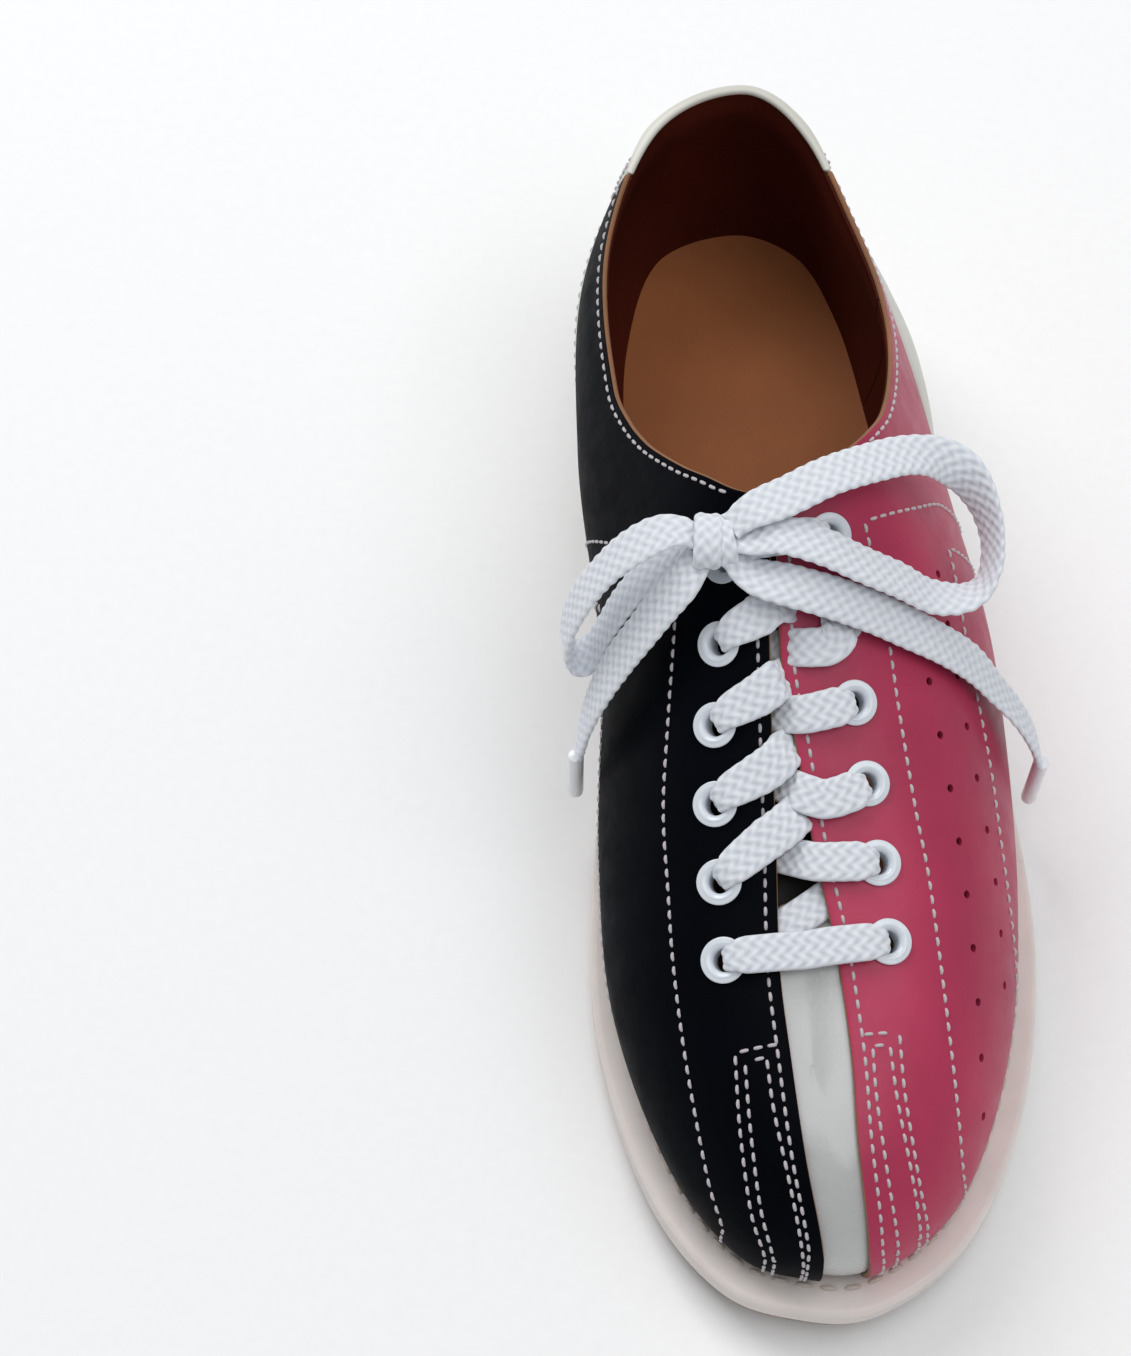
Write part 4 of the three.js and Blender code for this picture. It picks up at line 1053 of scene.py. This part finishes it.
def ring_faces(count, rings):
    """Faces between closed rings of so many points each."""
    ring = np.arange(count)
    nxt = (ring + 1) % count
    quads = np.stack([ring, nxt, nxt + count, ring + count], 1)
    return np.concatenate([quads + k * count for k in range(rings - 1)])


def sole_solid(name, layers, material, cut=None):
    """Solid whose rings follow the outline: each layer is (inset, share of the way out, height)."""
    u = ring_sections()
    count = len(u)
    own_inset = catmull(OUTLINE, u)[:, 2]
    rings = []
    for inset, share, height in layers:
        x, y = rim(u, inset - own_inset)
        s = SPINE * rim(u)[1]
        x, y = ridge_x(s) + (x - ridge_x(s)) * share, s + (y - s) * share
        rings.append(np.column_stack([x, y, height(y)]))
    faces = ring_faces(count, len(layers))
    made = build(name, np.concatenate(rings), faces, [MATERIALS[material]])
    if cut:
        trim(made, *cut)
    return made


def trim(made, y, keep_front):
    """Cut a solid square across at y and close the cut."""
    work = bmesh.new()
    work.from_mesh(made.data)
    everything = work.verts[:] + work.edges[:] + work.faces[:]
    result = bmesh.ops.bisect_plane(work, geom=everything, plane_co=(0, y * MM, 0), plane_no=(0, 1, 0),
                                    clear_outer=keep_front, clear_inner=not keep_front)
    edges = [g for g in result["geom_cut"] if isinstance(g, bmesh.types.BMEdge)]
    bmesh.ops.edgeloop_fill(work, edges=edges)
    bmesh.ops.recalc_face_normals(work, faces=work.faces)
    work.to_mesh(made.data)
    work.free()
    smooth(made.data, SHARP)


def wall(bottom, top, inset, radius, bulge=0.0, steps=6):
    """Layers of a wall with rounded edges: from the bottom's middle out, up and back in."""
    layers = [(inset + radius + 3, share, bottom) for share in (0.0, 0.25, 0.5, 0.75, 0.97)]
    for a in np.linspace(0, QUARTER_TURN, steps):
        layers.append((inset + radius * (1 - math.sin(a)), 1.0,
                       lambda y, a=a: bottom(y) + radius * (1 - math.cos(a))))
    for share in (0.25, 0.5, 0.75):
        layers.append((inset - bulge * math.sin(math.pi * share), 1.0,
                       lambda y, t=share: bottom(y) + radius + (top(y) - bottom(y) - 2 * radius) * t))
    for a in np.linspace(QUARTER_TURN, 0, steps):
        layers.append((inset + radius * (1 - math.sin(a)), 1.0,
                       lambda y, a=a: top(y) - radius * (1 - math.cos(a))))
    layers += [(inset + radius + 3, share, top) for share in (0.97, 0.75, 0.5, 0.25, 0.0)]
    return layers


WELT_DROP = 0.3       # the welt's top under the upper's lower edge
SLIDE = 2.6           # thickness of the slide sole
LIFT_TOP = 6.0
BLOCK_BOTTOM = 6.3
GLUE = 0.3            # left between the heel block and the midsole


def make_sole():
    welt_top = lambda y: feather_z(y) - WELT_DROP
    slide_top = lambda y: tread_z(y) + SLIDE
    block_top = lambda y: midsole_bottom(y) - GLUE
    level = lambda z: lambda y: z + 0 * y
    body = sole_solid("beige_midsole", wall(midsole_bottom, welt_top, 0.0, 1.6, bulge=-0.5), "sole")
    finish_piece(body, "shoe", "sole_unit", "midsole")
    sole = sole_solid("suede_slide_sole", wall(tread_z, slide_top, 0.8, 0.7), "slide",
                      cut=(BREAST_Y - GLUE, True))
    finish_piece(sole, "shoe", "slide_leather", "slide_sole")
    block = sole_solid("stacked_heel_block", wall(level(BLOCK_BOTTOM), block_top, 0.8, 0.6), "sole",
                       cut=(BREAST_Y, False))
    finish_piece(block, "shoe", "sole_unit", "heel_block")
    lift = sole_solid("rubber_heel_lift", wall(level(0), level(LIFT_TOP), 0.8, 0.9), "rubber",
                      cut=(BREAST_Y, False))
    finish_piece(lift, "shoe", "heel_rubber", "heel_top_lift")


def make_sock():
    """Leather sock over the insole: a rounded rim against the wall, then flat across."""
    u = ring_sections()
    count = len(u)
    foot_y = rim(u)[1]
    s = SPINE * foot_y
    under = 2.6
    over = 4.0
    flat = 10.0       # the rim is left behind this far in
    plan = [(5.5, share, under) for share in (0.0, 0.5)]
    plan += [(4.5, 1.0, under), (3.8, 1.0, under + 0.5), (3.6, 1.0, over + 0.2), (4.0, 1.0, over + 0.5),
             (6.0, 1.0, over + 0.3), (flat, 1.0, over)]
    plan += [(flat, share, over) for share in (0.8, 0.6, 0.4, 0.2, 0.0)]
    rings = []
    for extra, share, height in plan:
        z = feather_z(foot_y) + height
        x, y = rim(u, extra)
        if share == 1.0 and extra < flat:
            wall_phi = np.clip(phi_at_height(u, z), FOOT_PHI, None)
            x, y = lifted(u, wall_phi, np.full(count, -extra))[:, :2].T
        x, y = ridge_x(s) + (x - ridge_x(s)) * share, s + (y - s) * share
        rings.append(np.column_stack([x, y, feather_z(y) + height]))
    faces = ring_faces(count, len(plan))
    made = build("leather_sock_liner", np.concatenate(rings), faces, [MATERIALS["sock"]])
    finish_piece(made, "shoe", "sock_leather", "sock_liner")


def make_welt_stitching():
    """Waxed thread round the forefoot, where the upper is sewn to the welt."""
    y_stop = 40
    outer = np.linspace(float(section_at(1, y_stop)), TOE_U, 400)
    inner = np.linspace(TOE_U, float(section_at(-1, y_stop)), 400)[1:]
    u = np.concatenate([outer, inner])
    x, y = rim(u, -1.6)
    centres = np.column_stack([x, y, feather_z(y) - 0.3])
    run = lengths(centres, 0)
    want = np.arange(0, run[-1], 0.5)
    centres = np.stack([np.interp(want, run, centres[:, k]) for k in range(3)], 1)
    ups = np.tile([0.0, 0.0, 1.0], (len(centres), 1))
    points, faces = stitch_solids(centres, ups, thread=1.3, pitch=5.4, length=3.9, high=0.35)
    made = build("welt_stitching", points, faces, [MATERIALS["welt_thread"]], merge=0)
    finish_piece(made, "shoe", "lace_cotton")


# ---------------------------------------------------------------- eyelets and lace

def make_eyelets():
    """Pressed eyelets with a rolled flange and a barrel clenched behind the lining."""
    bore, barrel, flange = 2.45, 3.2, 5.1
    bend = np.linspace(0, np.pi, 9)
    rolled = [(flange - 0.55 + 0.55 * math.sin(a), 0.35 + 0.5 * (1 - math.cos(a)) / 2) for a in bend]
    dish = [(bore + 1.5, 1.05), (bore + 0.8, 0.95), (bore + 0.35, 0.6), (bore + 0.08, 0.1), (bore, -0.6)]
    profile = [(bore, -4.2), (barrel + 0.4, -4.2), (barrel, -3.9), (barrel, 0.25), (flange - 0.5, 0.3)]
    profile = profile + rolled[1:] + [(flange - 1.4, 1.05)] + dish
    for side, word in ((-1, "medial"), (1, "lateral")):
        u, phi = eyelet_places(side)
        for i, (p, n) in enumerate(zip(surface(u, phi), surface_normal(u, phi))):
            points, faces = turned(profile, 56, p, n)
            made = build(f"enamelled_eyelet_{word}_{i + 1}", points, faces, [MATERIALS["enamel"]], sharp=60)
            finish_piece(made, "shoe", "eyelet_enamel", f"eyelet_{word}_{i + 1}")


PLAIT_PITCH = 3.0
PLAIT_WIDTH = 3.3
PLAIT_DEPTH = 0.5


def braid(centres, sides, widths, thickness, step=0.4, ring=56, closed=False):
    """Flat braided lace along a line: sides point across it, and every plait stands up a little.

    Returns its points, its faces, how high each point stands in the braid, from 0 to 1, and its middle line.
    """
    run = lengths(centres, 0)
    want = np.linspace(0, run[-1], max(int(run[-1] / step), 12))
    if closed:
        want = want[:-1]
    at = lambda values: np.stack([np.interp(want, run, values[:, k]) for k in range(3)], 1)
    middle = at(centres)
    width = np.interp(want, run, widths)
    ahead = unit(np.gradient(at(centres), axis=0))
    side = at(sides)
    side = unit(side - ahead * np.sum(side * ahead, axis=1, keepdims=True))
    up = np.cross(side, ahead)
    turn = np.arange(ring) / ring
    even = np.abs(4 * turn - 2) - 1
    across = 0.7 * even + 0.3 * np.sin(QUARTER_TURN * even)
    level = np.where(turn < 0.5, 1, -1) * np.sqrt(1 - across ** 6)
    columns = width[:, None] / PLAIT_WIDTH * across[None] * np.pi
    lean = 0.7 * np.sin(columns) * np.where(turn < 0.5, 1, -1)
    beat = np.cos(2 * np.pi * want[:, None] / PLAIT_PITCH + lean)
    relief = (0.5 + 0.5 * beat * np.cos(columns)) ** 0.8
    height = level[None] * (thickness / 2 + PLAIT_DEPTH * (relief - 0.6))
    reach = width[:, None] / 2 * across[None] * (1 + 0.04 * (relief - 0.5))
    points = middle[:, None] + reach[..., None] * side[:, None] + height[..., None] * up[:, None]
    rows = len(want)
    i, k = np.meshgrid(np.arange(rows if closed else rows - 1), np.arange(ring), indexing="ij")
    j = (i + 1) % rows
    nxt = (k + 1) % ring
    faces = np.stack([i * ring + k, i * ring + nxt, j * ring + nxt, j * ring + k], -1).reshape(-1, 4)
    faces = faces.tolist()
    if not closed:
        for first in (0, (rows - 1) * ring):
            for k in range(ring // 2 - 1):
                quad = [first + k, first + k + 1, first + ring - 2 - k, first + ring - 1 - k]
                faces.append(quad if len(set(quad)) == 4 else list(dict.fromkeys(quad)))
    return points.reshape(-1, 3), faces, relief.ravel(), middle


def lace_object(name, parts):
    points, faces, relief, first = [], [], [], 0
    for part in parts:
        points.append(part[0])
        faces += [[i + first for i in face] for face in part[1]]
        relief.append(part[2])
        first += len(part[0])
    return build(name, np.concatenate(points), faces, [MATERIALS["lace"]], merge=0, sharp=75,
                 relief=np.concatenate(relief))


def run_over(spots, thickness):
    """Lace over the surface through spots (x, y, height above the surface, width)."""
    spots = np.array(spots, float)
    u, phi = locate(spots[:, 0], spots[:, 1])
    centres = lifted(u, phi, spots[:, 2])
    heading = unit(np.gradient(spots[:, :2], axis=0))
    ahead = np.column_stack([heading, np.zeros(len(spots))])
    sides = unit(np.cross(ahead, surface_normal(u, phi)))
    dense = open_spline(centres, 12)
    share = np.linspace(0, len(spots) - 1, len(dense))
    sides = np.stack([np.interp(share, np.arange(len(spots)), sides[:, k]) for k in range(3)], 1)
    widths = np.interp(share, np.arange(len(spots)), spots[:, 3])
    return braid(dense, sides, widths, thickness)


# How a lace rises out of its eyelet: distance from the middle, height above the surface, width.
RISE = [(0.3, -4.5, 4.6), (0.4, -1.0, 4.9), (1.0, 1.0, 5.4), (2.8, 2.0, 6.8), (5.0, 2.35, 8.2)]


def out_of_eyelet(x, y, toward, reach=1.0):
    """First spots of a lace that comes up through an eyelet and lies down towards a point."""
    d = np.array(toward) - (x, y)
    d = d / np.hypot(*d)
    return [(x + d[0] * away * reach, y + d[1] * away * reach, height, width)
            for away, height, width in RISE]


# Points in plan of the runs that show between the facings, by eyelet pair.
LEFT_RUNS = {2: [(-14.2, -54.1), (-7.1, -49.2)], 3: [(-15.1, -40.6), (-9.0, -36.0)],
             4: [(-14.4, -24.7), (-9.6, -22.2)], 5: [(-13.8, -9.1), (-7.5, -7.1)]}
RIGHT_RUNS = {2: [(4.3, -60.3), (-3.7, -60.0), (-11.5, -57.4)],
              3: [(4.4, -45.5), (-1.6, -47.1), (-6.5, -45.5), (-10.4, -42.6)],
              4: [(1.5, -28.3), (-5.1, -29.6), (-11.3, -29.3)],
              5: [(2.6, -13.6), (-0.1, -16.0), (-4.6, -16.4), (-9.7, -16.0)]}
OVER = 2.35           # heights of a run's middle above the surface, over and under the facings
UNDER = -5.4


def make_lace_runs():
    """Bar over the first pair, crossing runs above it, and the run that shows under them."""
    thick = bpy.context.scene.shoe_sizes.lace_thickness / MM
    centre = {side: surface(*eyelet_places(side)) for side in (-1, 1)}
    a, b = centre[-1][0], centre[1][0]
    middle = [(*(a[:2] + (b[:2] - a[:2]) * t), OVER + 0.2, 8.4) for t in (0.35, 0.5, 0.65)]
    bar = out_of_eyelet(a[0], a[1], b[:2]) + middle + out_of_eyelet(b[0], b[1], a[:2])[::-1]
    made = lace_object("braided_lace_bar", [run_over(bar, thick)])
    finish_piece(made, "shoe", "lace_cotton", "lace_bar")
    for i in range(2, 6):
        x, y = centre[-1][i - 1][:2]
        (mx, my), (ex, ey) = LEFT_RUNS[i]
        spots = out_of_eyelet(x, y, (mx, my)) + [
            (mx - 1.0, my - 0.8, OVER + 0.3, 9.4), (mx + 2.6, my + 1.8, OVER, 9.4),
            (ex - 0.6, ey - 0.4, 0.3, 9.2), (ex + 2.2, ey + 1.2, -3.4, 8.6), (ex + 7, ey + 3, UNDER, 7.5)]
        made = lace_object(f"braided_run_medial_{i}", [run_over(spots, thick)])
        finish_piece(made, "shoe", "lace_cotton", f"lace_run_medial_{i}")
        x, y = centre[1][i - 1][:2]
        line = RIGHT_RUNS[i]
        spots = out_of_eyelet(x, y, line[0], 0.8)[:4] + [(px, py, OVER, 8.8) for px, py in line[:-2]]
        (gx, gy), (hx, hy) = line[-2:]
        spots += [(gx, gy, OVER - 0.6, 8.6), ((gx + hx) / 2 - 0.8, (gy + hy) / 2, -0.6, 8.4),
                  (hx - 1.2, hy, -3.8, 7.4), (hx - 6, hy + 2, UNDER, 7.4)]
        made = lace_object(f"braided_run_lateral_{i}", [run_over(spots, thick)])
        finish_piece(made, "shoe", "lace_cotton", f"lace_run_lateral_{i}")
    under = [(-23, -80, -3.2, 7.6), (-16, -75.5, -2.7, 8), (-8, -70.5, -2.1, 8), (0, -66, -2.7, 8),
             (7, -62, -3.2, 7.6)]
    made = lace_object("braided_under_run", [run_over(under, thick)])
    finish_piece(made, "shoe", "lace_cotton")
    x, y = centre[1][5][:2]
    spots = out_of_eyelet(x, y, (-10, 5))[:4] + [(-4, 5.6, OVER + 0.4, 7.6), (-10, 4.8, OVER + 1.2, 7.6),
                                                 (-16, 4.2, OVER + 2.2, 7.4)]
    made = lace_object("braided_lace_to_knot", [run_over(spots, thick)])
    finish_piece(made, "shoe", "lace_cotton", "lace_to_knot")


# Routes of the bow's free stretches: x, y, z, and the way the lace's face looks.
OUTER_LOOP = [
    (-16, 7, 103, 0, 0, 1), (-8, 10, 104, 0, 0, 1), (1, 14, 105, 0, 0, 1), (11, 19, 102, 0.2, 0, 1),
    (20, 23, 98.5, 0.1, -0.1, 1), (28, 24, 95, -0.2, -0.3, 0.9), (34, 21, 92, -0.6, -0.3, 0.7),
    (38, 15, 88, -0.9, -0.1, 0.5), (39.5, 8, 84, -0.9, 0.1, 0.4), (38, 1, 81, -0.7, 0.4, 0.5),
    (33, -3, 80, -0.3, 0.3, 0.9), (25, -4, 82, 0.2, 0.1, 1), (17, -3, 88, 0.3, 0, 1),
    (8, -2, 94, 0.3, 0, 1), (-1, 0, 99, 0.1, 0, 1), (-10, 2, 101, 0, 0, 1), (-16, 2, 99.5, 0, 0, 1)]
INNER_LOOP = [
    (-33, 5, 99, 0, 0, 1), (-38, 4.5, 97.5, -0.2, 0, 1), (-44, 3, 93.5, -0.4, 0, 0.9),
    (-49, 1.5, 87.5, -0.7, 0, 0.7), (-53.5, -0.5, 80, -0.9, -0.1, 0.5), (-56.5, -2.5, 71.5, -1, -0.1, 0.2),
    (-57, -4, 64, -1, -0.1, -0.3), (-54.5, -4.5, 59.5, -0.5, 0, -0.9), (-51, -4, 61.5, 0.4, 0, -0.9),
    (-48.5, -2.5, 67.5, 0.9, 0, -0.5), (-45, -0.5, 75.5, 0.8, 0, -0.6), (-40, 2, 82.5, 0.7, 0, -0.7),
    (-34, 4, 87.5, 0.5, 0, -0.9)]
OUTER_TAIL = [
    (-16, -4.5, 95, 0, 0, 1), (-8, -7.5, 95, 0, -0.2, 1), (1, -9, 92, 0.2, -0.3, 1),
    (10, -10, 87, 0.4, -0.3, 0.9), (18, -11, 81.5, 0.5, -0.3, 0.8), (27, -12, 74.5, 0.65, -0.2, 0.7),
    (35, -13, 66.5, 0.75, -0.2, 0.6), (41, -15.5, 59, 0.85, -0.1, 0.5), (47, -19, 52, 0.9, 0, 0.4),
    (51.5, -21, 43, 1, 0, 0.2), (54, -22, 34, 1, 0, 0)]
INNER_TAIL = [
    (-31, -4, 93, -0.3, -0.2, 1), (-35.5, -6.5, 87.5, -0.5, -0.2, 0.9), (-40.5, -9.5, 80, -0.7, -0.2, 0.7),
    (-45.5, -12, 71.5, -0.8, -0.2, 0.6), (-50, -15, 62, -0.9, -0.1, 0.4), (-53, -17, 51, -1, 0, 0.2),
    (-54.5, -19, 40, -1, 0, 0.1)]
KNOT = np.array([-24.5, 3, 97.5])
FREE_WIDTH = 10.0
AGLET_RADIUS = 1.9
AGLET_LENGTH = 20


def free_lace(name, route, node, closed=False):
    """One free stretch of the bow, out of the knot; a closed one goes back into it."""
    route = np.array(route, float)
    points, faces_to = route[:, :3], route[:, 3:]
    points = np.concatenate([[KNOT * 0.55 + points[0] * 0.45 + (0, 0, 0.4)], points])
    faces_to = np.concatenate([faces_to[:1], faces_to])
    if closed:
        points = np.concatenate([points, [KNOT * 0.55 + points[-1] * 0.45]])
        faces_to = np.concatenate([faces_to, faces_to[-1:]])
    dense = open_spline(points, 16)
    share = np.linspace(0, len(points) - 1, len(dense))
    looks = np.stack([np.interp(share, np.arange(len(points)), faces_to[:, k]) for k in range(3)], 1)
    sides = unit(np.cross(unit(np.gradient(dense, axis=0)), looks))
    run = lengths(dense, 0)
    widths = FREE_WIDTH * np.ones(len(dense))
    widths -= 3.2 * np.exp(-(run / 6) ** 2)
    if closed:
        widths -= 3.2 * np.exp(-((run[-1] - run) / 6) ** 2)
    else:
        widths -= 4.6 * np.exp(-((run[-1] - run) / 5) ** 2)
    thick = bpy.context.scene.shoe_sizes.lace_thickness / MM
    part = braid(dense, sides, widths, thick)
    made = lace_object(name, [part])
    finish_piece(made, "shoe", "lace_cotton", node)
    return made, part[3] * MM


def make_bow():
    """Knot, two loops and two tails with their aglets."""
    lateral = free_lace("bow_loop_lateral", OUTER_LOOP, "lace_loop_lateral", closed=True)
    medial = free_lace("bow_loop_medial", INNER_LOOP, "lace_loop_medial", closed=True)
    tails = [("lateral", OUTER_TAIL), ("medial", INNER_TAIL)]
    for word, route in tails:
        made, path = free_lace(f"bow_tail_{word}", route, f"lace_tail_{word}")
        x, y, z = route[-1][:3]
        top = np.array([x + math.copysign(0.8, x), y - 0.5, z - 0.3])
        r = AGLET_RADIUS
        profile = [(0.001, -AGLET_LENGTH), (r * 0.7, -AGLET_LENGTH), (r * 0.95, -AGLET_LENGTH + 0.4),
                   (r, -AGLET_LENGTH + 1.2), (r, -0.8), (r * 0.92, -0.2), (r * 0.7, 0.0), (0.001, 0.0)]
        points, faces = turned(profile, 32, top, (0, 0, 1), closed=False)
        aglet = build(f"acetate_aglet_{word}", points, faces, [MATERIALS["aglet"]])
        finish_piece(aglet, "shoe", "aglet_plastic", f"aglet_{word}")
    make_knot()


def make_knot():
    """The knot: two turns of lace side by side over the crossing."""
    thick = bpy.context.scene.shoe_sizes.lace_thickness / MM
    parts = []
    angle = np.linspace(0, 2 * np.pi, 80)
    for dx, lean, width, reach, tall in ((-1.2, 0.10, 6.2, 5.7, 3.8), (2.2, -0.2, 4.2, 5.2, 3.2)):
        ring = np.column_stack([dx + lean * 5 * np.cos(angle), reach * np.cos(angle), tall * np.sin(angle)])
        sides = np.tile([1.0, -lean, 0.0], (len(angle), 1))
        parts.append(braid(KNOT + ring, sides, np.full(len(angle), width), thick, closed=True))
    made = lace_object("bow_knot", parts)
    finish_piece(made, "shoe", "lace_cotton", "lace_knot")


# ---------------------------------------------------------------- stage

def make_camera():
    tilt, yaw, roll = math.radians(27.98), math.radians(1.98), math.radians(-0.12)
    ahead = Vector((math.sin(tilt) * math.sin(yaw), math.sin(tilt) * math.cos(yaw), -math.cos(tilt)))
    right = Vector((math.cos(yaw), -math.sin(yaw), 0))
    up = right.cross(ahead)
    turn = Matrix((right, up, -ahead)).transposed() @ Matrix.Rotation(roll, 3, "Z")
    data = bpy.data.cameras.new("camera")
    data.sensor_width = 36
    data.lens = 69.08
    data.clip_end = 20
    camera = bpy.data.objects.new("camera", data)
    camera.matrix_world = Matrix.Translation(Vector((-67, -289.4, 586.5)) * MM) @ turn.to_4x4()
    bpy.context.scene.collection.objects.link(camera)
    bpy.context.scene.camera = camera


def make_stage():
    """White paper floor, a pale even sky and two large soft lights."""
    mesh = bpy.data.meshes.new("floor")
    reach = 6.0
    mesh.from_pydata([(-reach, -reach, 0), (reach, -reach, 0), (reach, reach, 0), (-reach, reach, 0)], [],
                     [(0, 1, 2, 3)])
    made, tree, output, place = new_material("matt_white_backdrop_paper")
    fibre = add(tree, "TexNoise", {"Vector": place, "Scale": per_metre(3), "Detail": 3.0}).outputs["Fac"]
    tint = blend_colours(tree, fibre, (*linear("f6f6f6"), 1.0), (*linear("fbfbfb"), 1.0))
    surface_shader(tree, output, colour=tint, roughness=1.0, specular=0.1)
    mesh.materials.append(made)
    floor = bpy.data.objects.new("floor", mesh)
    bpy.context.scene.collection.objects.link(floor)
    world = bpy.data.worlds.new("studio")
    world.use_nodes = True
    world.node_tree.nodes["Background"].inputs["Color"].default_value = (0.95, 0.97, 1.0, 1.0)
    world.node_tree.nodes["Background"].inputs["Strength"].default_value = 0.38
    bpy.context.scene.world = world
    lights = (("window", (-0.7, 1.0, 1.4), 1.0, 15), ("overhead", (0.5, -0.2, 1.7), 1.5, 13))
    for name, place, size, power in lights:
        data = bpy.data.lights.new(name, "AREA")
        data.size = size
        data.energy = power
        light = bpy.data.objects.new(name, data)
        light.location = place
        light.rotation_euler = (-Vector(place)).to_track_quat("-Z", "Y").to_euler()
        bpy.context.scene.collection.objects.link(light)
    bpy.context.scene.view_settings.view_transform = "Standard"


def finish_hidden_nodes():
    """Finishes for the puff, backers, board, shank and filler, whose own shape stays."""
    kinds = {"board": ("toe_puff", "medial_facing_backer", "lateral_facing_backer",
                       "insole_board"),
             "lining": ("vamp_lining",), "foam": ("forefoot_filler",), "steel": ("shank",)}
    for kind, nodes in kinds.items():
        for node in nodes:
            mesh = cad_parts[node].data
            mesh.materials.clear()
            mesh.materials.append(MATERIALS[kind])


# ---------------------------------------------------------------- operators

class ShoeOperator:
    bl_options = {"REGISTER", "UNDO"}


class SHOE_OT_stage(ShoeOperator, bpy.types.Operator):
    """Camera, lights, floor and all the finishes"""
    bl_idname = "shoe.stage"
    bl_label = "Stage and Finishes"

    def execute(self, context):
        make_camera()
        make_stage()
        make_materials(context.scene.shoe_colours)
        return {"FINISHED"}


class SHOE_OT_bow(ShoeOperator, bpy.types.Operator):
    """Knot, loops, tails and aglets"""
    bl_idname = "shoe.bow"
    bl_label = "Bow"

    def execute(self, context):
        make_bow()
        return {"FINISHED"}


class SHOE_OT_runs(ShoeOperator, bpy.types.Operator):
    """Lace over and under the facings"""
    bl_idname = "shoe.runs"
    bl_label = "Lace Runs"

    def execute(self, context):
        make_lace_runs()
        return {"FINISHED"}


class SHOE_OT_panels(ShoeOperator, bpy.types.Operator):
    """Navy and crimson panels with their stitching"""
    bl_idname = "shoe.panels"
    bl_label = "Panels"

    def execute(self, context):
        for side, word in ((-1, "navy"), (1, "crimson")):
            make_panel(side)
            seam(f"{word}_stitching", panel_seams(side), MATERIALS["thread"])
        return {"FINISHED"}


class SHOE_OT_strip(ShoeOperator, bpy.types.Operator):
    """Cream strip up the toe"""
    bl_idname = "shoe.strip"
    bl_label = "Toe Strip"

    def execute(self, context):
        make_strip()
        return {"FINISHED"}


class SHOE_OT_heel(ShoeOperator, bpy.types.Operator):
    """Counter cover and heel collar"""
    bl_idname = "shoe.heel"
    bl_label = "Heel"

    def execute(self, context):
        make_heel()
        return {"FINISHED"}


class SHOE_OT_linings(ShoeOperator, bpy.types.Operator):
    """Linings, sock liner and hidden stiffeners"""
    bl_idname = "shoe.linings"
    bl_label = "Linings"

    def execute(self, context):
        make_linings()
        make_stiffener()
        make_sock()
        finish_hidden_nodes()
        return {"FINISHED"}


class SHOE_OT_tongue(ShoeOperator, bpy.types.Operator):
    """Tongue and its lining"""
    bl_idname = "shoe.tongue"
    bl_label = "Tongue"

    def execute(self, context):
        make_tongue()
        return {"FINISHED"}


class SHOE_OT_sole(ShoeOperator, bpy.types.Operator):
    """Midsole, slide sole, heel and welt stitching"""
    bl_idname = "shoe.sole"
    bl_label = "Sole"

    def execute(self, context):
        make_sole()
        make_welt_stitching()
        return {"FINISHED"}


class SHOE_OT_eyelets(ShoeOperator, bpy.types.Operator):
    """Twelve enamelled eyelets"""
    bl_idname = "shoe.eyelets"
    bl_label = "Eyelets"

    def execute(self, context):
        make_eyelets()
        return {"FINISHED"}


OPERATORS = (SHOE_OT_stage, SHOE_OT_bow, SHOE_OT_runs, SHOE_OT_panels, SHOE_OT_strip, SHOE_OT_heel,
             SHOE_OT_linings, SHOE_OT_tongue, SHOE_OT_sole, SHOE_OT_eyelets)


class SHOE_PT_panel(bpy.types.Panel):
    """Lists the shoe's pieces in the sidebar"""
    bl_idname = "SHOE_PT_panel"
    bl_label = "Bowling Shoe"
    bl_space_type = "VIEW_3D"
    bl_region_type = "UI"
    bl_category = "Shoe"

    def draw(self, context):
        for group in (context.scene.shoe_colours, context.scene.shoe_sizes):
            for name in group.__annotations__:
                self.layout.prop(group, name)
        for operator in OPERATORS:
            self.layout.operator(operator.bl_idname)


CLASSES = (ShoeColours, ShoeSizes, *OPERATORS, SHOE_PT_panel)


def register():
    for kind in CLASSES:
        bpy.utils.register_class(kind)
    bpy.types.Scene.shoe_colours = PointerProperty(type=ShoeColours)
    bpy.types.Scene.shoe_sizes = PointerProperty(type=ShoeSizes)


def unregister():
    del bpy.types.Scene.shoe_sizes
    del bpy.types.Scene.shoe_colours
    for kind in reversed(CLASSES):
        bpy.utils.unregister_class(kind)


def main():
    register()
    for operator in OPERATORS:
        group, name = operator.bl_idname.split(".")
        getattr(getattr(bpy.ops, group), name)()


if __name__ == "__main__":
    main()
